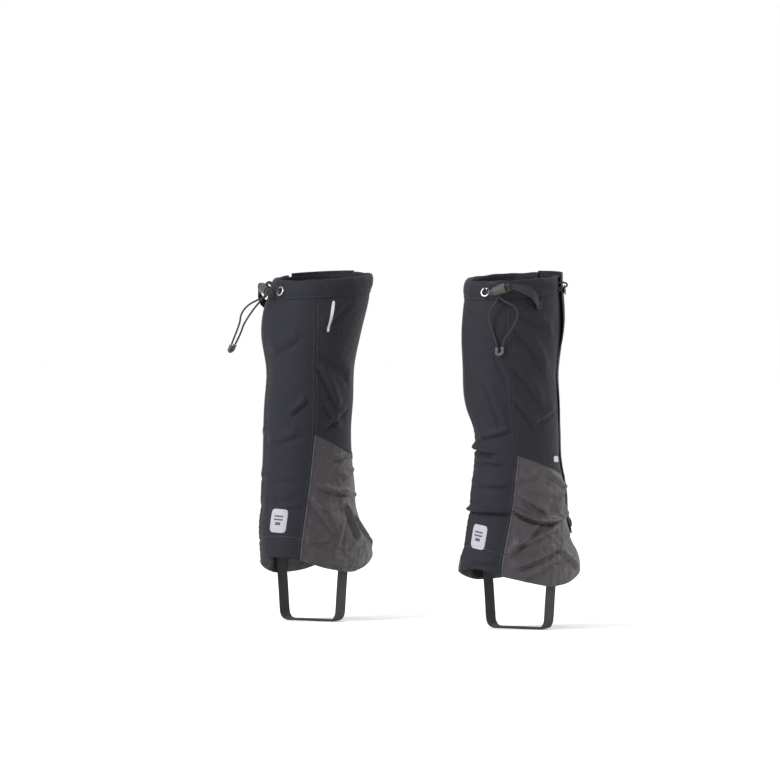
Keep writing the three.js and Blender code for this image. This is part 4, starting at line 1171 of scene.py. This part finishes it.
# A plain pale bar printed on the cloth.
def printMark(name, side, angle, low, high, half):
    a = np.linspace(angle - half, angle + half, 8)[None, :]
    z = np.linspace(low, high, 40)[:, None]
    taper = np.sqrt(np.clip(1 - (np.abs(2 * (z - low) / (high - low) - 1) ** 8), 0, 1))
    grid = shell(side, angle + (a - angle) * (0.3 + 0.7 * taper), z + 0 * a, 0.12)
    piece = makeMesh(name, placed(side, grid), gridFaces(40, 8, flip=sides[side] > 0))
    give(piece, "print", root, "label")


for side in sides:
    makeTether(side)
    makeStrap(side)
    makeTrim(side)
    makeLabel(side)
    makeHookTab(side)
printMark("leftPaleBar", "left", -57, 347, 384, 1.7)
printMark("rightPaleBar", "right", 108, 196, 203, 7)
print("straps and trim done")

# stitching
thread = {"pitch": 3.2, "length": 2.3, "radius": 0.22, "sink": 0.05}


# Stitch centres and directions at equal steps along a line given by angles and heights.
def stitchRun(side, angle, z, offset=0.0, wrinkled=True):
    line = shell(side, angle, z, offset, wrinkled)
    run = np.concatenate([[0], np.cumsum(np.linalg.norm(np.diff(line, axis=0), axis=1))])
    at = np.arange(thread["pitch"] / 2, run[-1], thread["pitch"])
    out = shell(side, angle, z, np.asarray(offset) + 1.0, wrinkled) - line
    centre = np.column_stack([np.interp(at, run, line[:, k]) for k in range(3)])
    ahead = np.column_stack([np.interp(at + 0.6, run, line[:, k]) for k in range(3)]) \
        - np.column_stack([np.interp(at - 0.6, run, line[:, k]) for k in range(3)])
    normal = np.column_stack([np.interp(at, run, out[:, k]) for k in range(3)])
    return centre, ahead, normal


# Each stitch is a short six-sided bar with dipped ends, lying along its run.
def makeStitches(name, side, runs, key="thread", body=root):
    centre, ahead, normal = (np.vstack([run[k] for run in runs]) for k in range(3))
    ahead = ahead / np.maximum(np.linalg.norm(ahead, axis=1, keepdims=True), 1e-9)
    normal = normal - ahead * np.sum(normal * ahead, axis=1, keepdims=True)
    normal /= np.maximum(np.linalg.norm(normal, axis=1, keepdims=True), 1e-9)
    across = np.cross(ahead, normal)
    turn = np.linspace(0, 2 * math.pi, 6, endpoint=False)
    rings = []
    for share, dip, wide in ((-0.5, -0.22, 0.5), (-0.25, 0.08, 1), (0.25, 0.08, 1), (0.5, -0.22, 0.5)):
        middle = centre + ahead * share * thread["length"] + normal * (dip + thread["sink"])
        ring = np.cos(turn)[None, :, None] * normal[:, None] + np.sin(turn)[None, :, None] * across[:, None]
        rings.append(middle[:, None] + ring * thread["radius"] * wide)
    grid = np.stack(rings, axis=1).reshape(len(centre), 24, 3)
    quads = gridFaces(4, 6, wrap=True)
    caps = [[0, 1, 2, 3, 4, 5][::-1], [18, 19, 20, 21, 22, 23]]
    start = np.arange(len(centre))[:, None, None] * 24
    faces = (quads[None] + start).reshape(-1, 4).tolist()
    faces += [[int(v) + k * 24 for v in cap] for k in range(len(centre)) for cap in caps]
    piece = makeMesh(name, placed(side, grid), faces)
    tidyNormals(piece)
    give(piece, key, body, "webbing")


def sewShell(side):
    runs, pale = [], []
    for sign in (-1, 1):
        foot = float(np.max(hemLine(side, sign * np.linspace(24, 48, 40))))
        for off in (-2.4, 2.4):
            z = np.linspace(foot + 2, topEdge(35.0) - 23, 400)
            runs.append(stitchRun(side, sign * (seamAngle(side, sign, z) + off), z, 0.1))
        angle = np.linspace(54 if sign == worn[side]["seamSide"] else 38, 178, 300) * sign
        for lift in (1.6, 4.6):
            runs.append(stitchRun(side, angle, kneeSeam(side, angle) + lift, 0.1))
        z = np.linspace(foot + 3, float(kneeSeam(side, sign * 45.0)) - 3, 260)
        pale.append(stitchRun(side, sign * (seamAngle(side, sign, z) + 1.1), z, 0.15))
    angle = np.linspace(-178, 178, 700)
    pale.append(stitchRun(side, angle, hemLine(side, angle) + 25.5, 0.3))
    angle = np.linspace(-175, 99, 600)
    runs.append(stitchRun(side, angle, topEdge(angle) - 20, 0.8, wrinkled=False))
    for sign in (-1, 1):
        for place in (-4.2, 4.2):
            low = float(hemLine(side, sign * 92.0)) + 1.5
            pale.append(stitchRun(side, np.full(60, sign * (92 + place)), np.linspace(low, low + 26, 60),
                                  0.2))
    z = np.linspace(flap["low"] + 2, 395, 300)
    for angle in (181.6, 184.0):
        runs.append(stitchRun(side, np.full(300, angle), z, 0.95))
    runs.append(stitchRun(side, np.full(30, 68.2), np.linspace(375.6, 384.4, 30), 2.7, wrinkled=False))
    makeStitches(f"{side}Stitches", side, runs)
    makeStitches(f"{side}PaleStitches", side, pale, key="paleThread")


for side in sides:
    sewShell(side)
print("stitches done")

# floor and light
stage = {"size": 30, "floor": (1.0, 1.0, 1.0, 1), "sky": (1.0, 1.0, 1.0, 1), "skyStrength": 1.0}
bpy.context.scene.view_settings.view_transform = "Standard"
bpy.ops.mesh.primitive_plane_add(size=stage["size"], location=(0, 0, -0.0006))
floor = bpy.context.object
floor.name = "floor"
floorMaterial = bpy.data.materials.new("paleFloor")
floorMaterial.use_nodes = True
floorMaterial.node_tree.nodes["Principled BSDF"].inputs["Base Color"].default_value = stage["floor"]
floorMaterial.node_tree.nodes["Principled BSDF"].inputs["Roughness"].default_value = 0.8
floor.data.materials.append(floorMaterial)

world = bpy.data.worlds.new("studio")
world.use_nodes = True
world.node_tree.nodes["Background"].inputs["Color"].default_value = stage["sky"]
world.node_tree.nodes["Background"].inputs["Strength"].default_value = stage["skyStrength"]
bpy.context.scene.world = world

lamps = [
    {"name": "key", "place": (0.9, 3.4, 2.6), "size": 1.3, "power": 150},
    {"name": "fill", "place": (-3.6, 1.2, 1.6), "size": 2.0, "power": 6},
    {"name": "front", "place": (-0.6, -3.0, 2.0), "size": 2.0, "power": 25},
]
for lamp in lamps:
    data = bpy.data.lights.new(lamp["name"], "AREA")
    data.energy = lamp["power"]
    data.size = lamp["size"]
    light = bpy.data.objects.new(lamp["name"], data)
    light.location = lamp["place"]
    aim = Vector((0, 0, 0.22)) - light.location
    light.rotation_euler = aim.to_track_quat("-Z", "Y").to_euler()
    bpy.context.scene.collection.objects.link(light)
print("stage lit")
